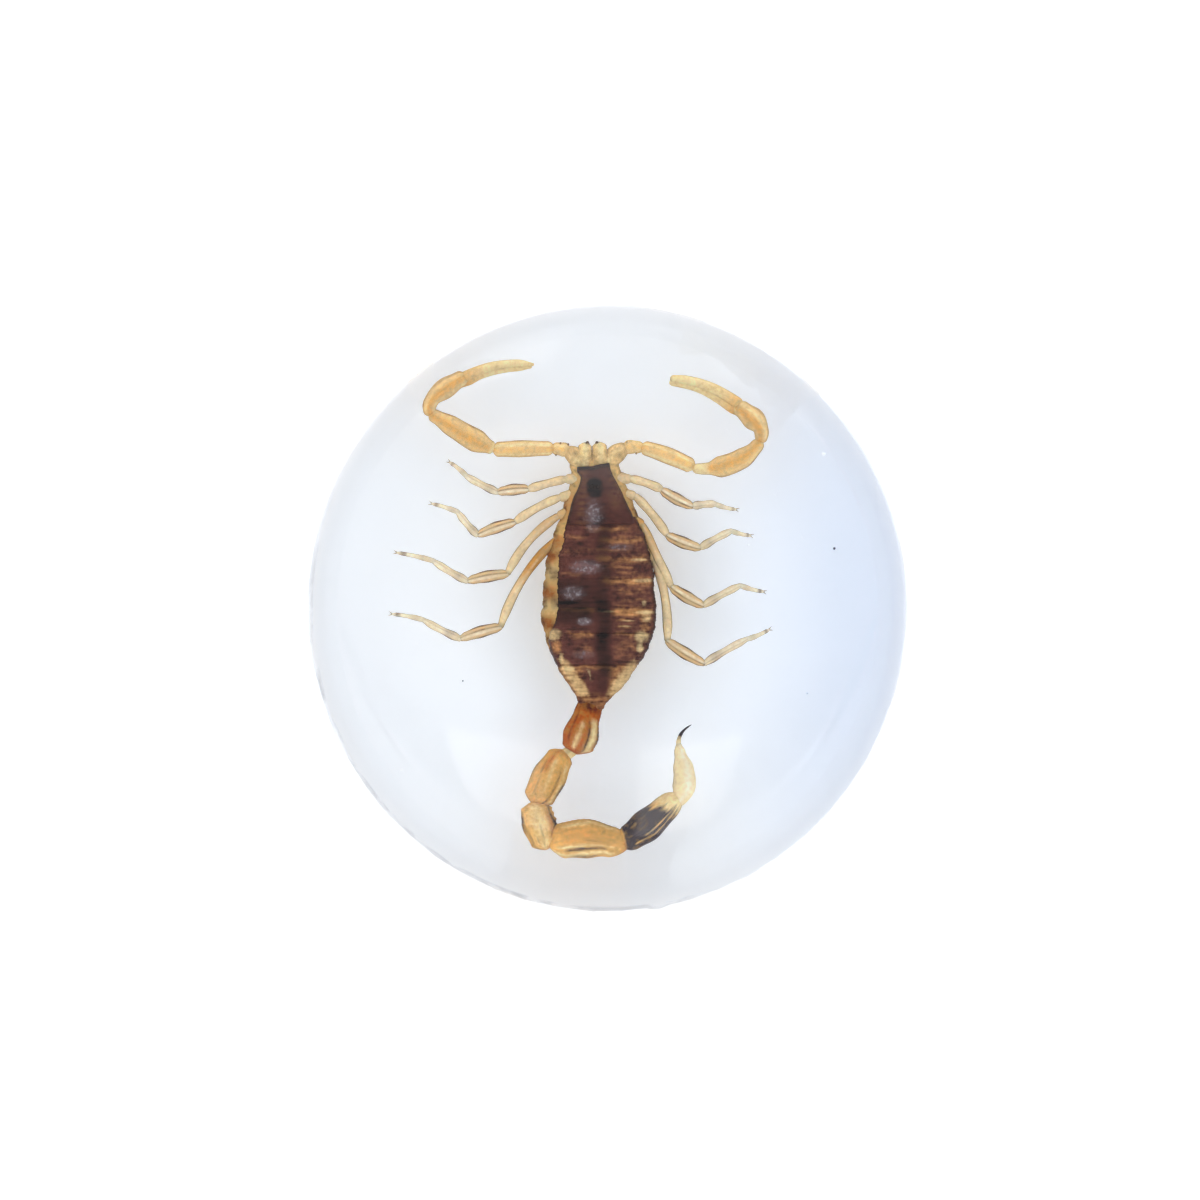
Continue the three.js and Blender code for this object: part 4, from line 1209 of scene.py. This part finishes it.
# %% Floor
FLOOR_SIZE = 3000.0
FLOOR_GAP = 0.05
SHEET_COLOUR = (0.95, 0.95, 0.95, 1)
BACK_LIGHT_COLOUR = (0.93, 0.955, 1, 1)
BACK_LIGHT = 0.225
sheet = bpy.data.meshes.new("floor")
far = FLOOR_SIZE * MM
below = -FLOOR_GAP * MM
sheet.from_pydata([(-far, -far, below), (far, -far, below), (far, far, below), (-far, far, below)],
                  [], [(0, 1, 2, 3)])
floor = bpy.data.objects.new("floor", sheet)
bpy.context.scene.collection.objects.link(floor)
paper = new_finish("white_sheet", Base_Color=SHEET_COLOUR, Roughness=0.9,
                   Specular_IOR_Level=0.0, Emission_Color=BACK_LIGHT_COLOUR,
                   Emission_Strength=BACK_LIGHT)[0]
sheet.materials.append(paper)

# %% [markdown]
# ### Light tent
# What the dome mirrors decides how clear it looks, so the world has the tent's parts: an even
# white wall that turns bluish to the right, a dim roof where the camera looks in, a dim strip
# in front, and the two panes.

# %% World
TENT = 1.78
TENT_WHITE = (1, 1, 1, 1)
TENT_BLUE = (0.86, 0.93, 1.03, 1)
PANE_GLOW = 1.5
OVERHEAD_DIM = -0.83
FRONT_DIM = -0.35
world = bpy.data.worlds.new("light_tent")
bpy.context.scene.world = world
world.use_nodes = True
tree = world.node_tree
direction = tree.nodes.new("ShaderNodeTexCoord").outputs["Generated"]
way = node(tree, "ShaderNodeSeparateXYZ", Vector=direction).outputs
steep = calc(tree, "MAXIMUM", way[2], 0.05)
sideways = calc(tree, "DIVIDE", way[0], steep)
lengthways = calc(tree, "DIVIDE", way[1], steep)


# %% Panes and walls of the tent
# The edges of the panes are slopes: how far a direction goes sideways or lengthways for each
# unit that it goes up.
def inside(value, low, high, soft=0.03):
    """1 between low and high, with soft edges: a rising ramp times a falling one."""
    return times(tree, ramp(tree, value, low - soft, low + soft),
                 ramp(tree, times(tree, value, -1.0), -high - soft, -high + soft))


left_pane = inside(sideways, -0.8, -0.3)
right_pane = inside(sideways, 0.15, 0.63)
panes = times(tree, plus(tree, left_pane, right_pane), inside(lengthways, -1.25, -0.56))
tent = blend(tree, ramp(tree, way[0], 0.1, 0.95), TENT_WHITE, TENT_BLUE)
overhead = times(tree, ramp(tree, way[2], 0.82, 0.95), OVERHEAD_DIM)
from_sheet = times(tree, ramp(tree, times(tree, way[2], -1.0), -0.5, -0.1), 0.1)
in_front = times(tree, inside(lengthways, -1.25, -0.4, 0.2), FRONT_DIM)
glow = plus(tree, overhead, from_sheet, in_front, 1.0)
lit = node(tree, "ShaderNodeBackground", Color=tent,
           Strength=plus(tree, times(tree, panes, PANE_GLOW), times(tree, glow, TENT)))
tree.links.new(lit.outputs[0], tree.nodes["World Output"].inputs["Surface"])
print("nodes in the light tent:", len(tree.nodes))

# %% [markdown]
# ### Camera
# The camera looks straight down from 0.7 m. Its long lens keeps the dome's rim in view all
# round, and its focal length follows from the width of the view at the top of the wall.

# %% Camera
CAMERA_PLACE = (-0.5625, 0.6375, 700.0)
VIEW_WIDTH = 90.0
SENSOR = 36.0
lens = bpy.data.cameras.new("camera")
lens.sensor_width = SENSOR
lens.lens = SENSOR * (CAMERA_PLACE[2] - WALL_HEIGHT) / VIEW_WIDTH
lens.clip_start, lens.clip_end = 0.01, 20.0
camera = bpy.data.objects.new("camera", lens)
camera.location = [v * MM for v in CAMERA_PLACE]
bpy.context.scene.collection.objects.link(camera)
bpy.context.scene.camera = camera
bpy.context.scene.view_settings.view_transform = "Standard"
print("lens in mm:", round(lens.lens, 1))
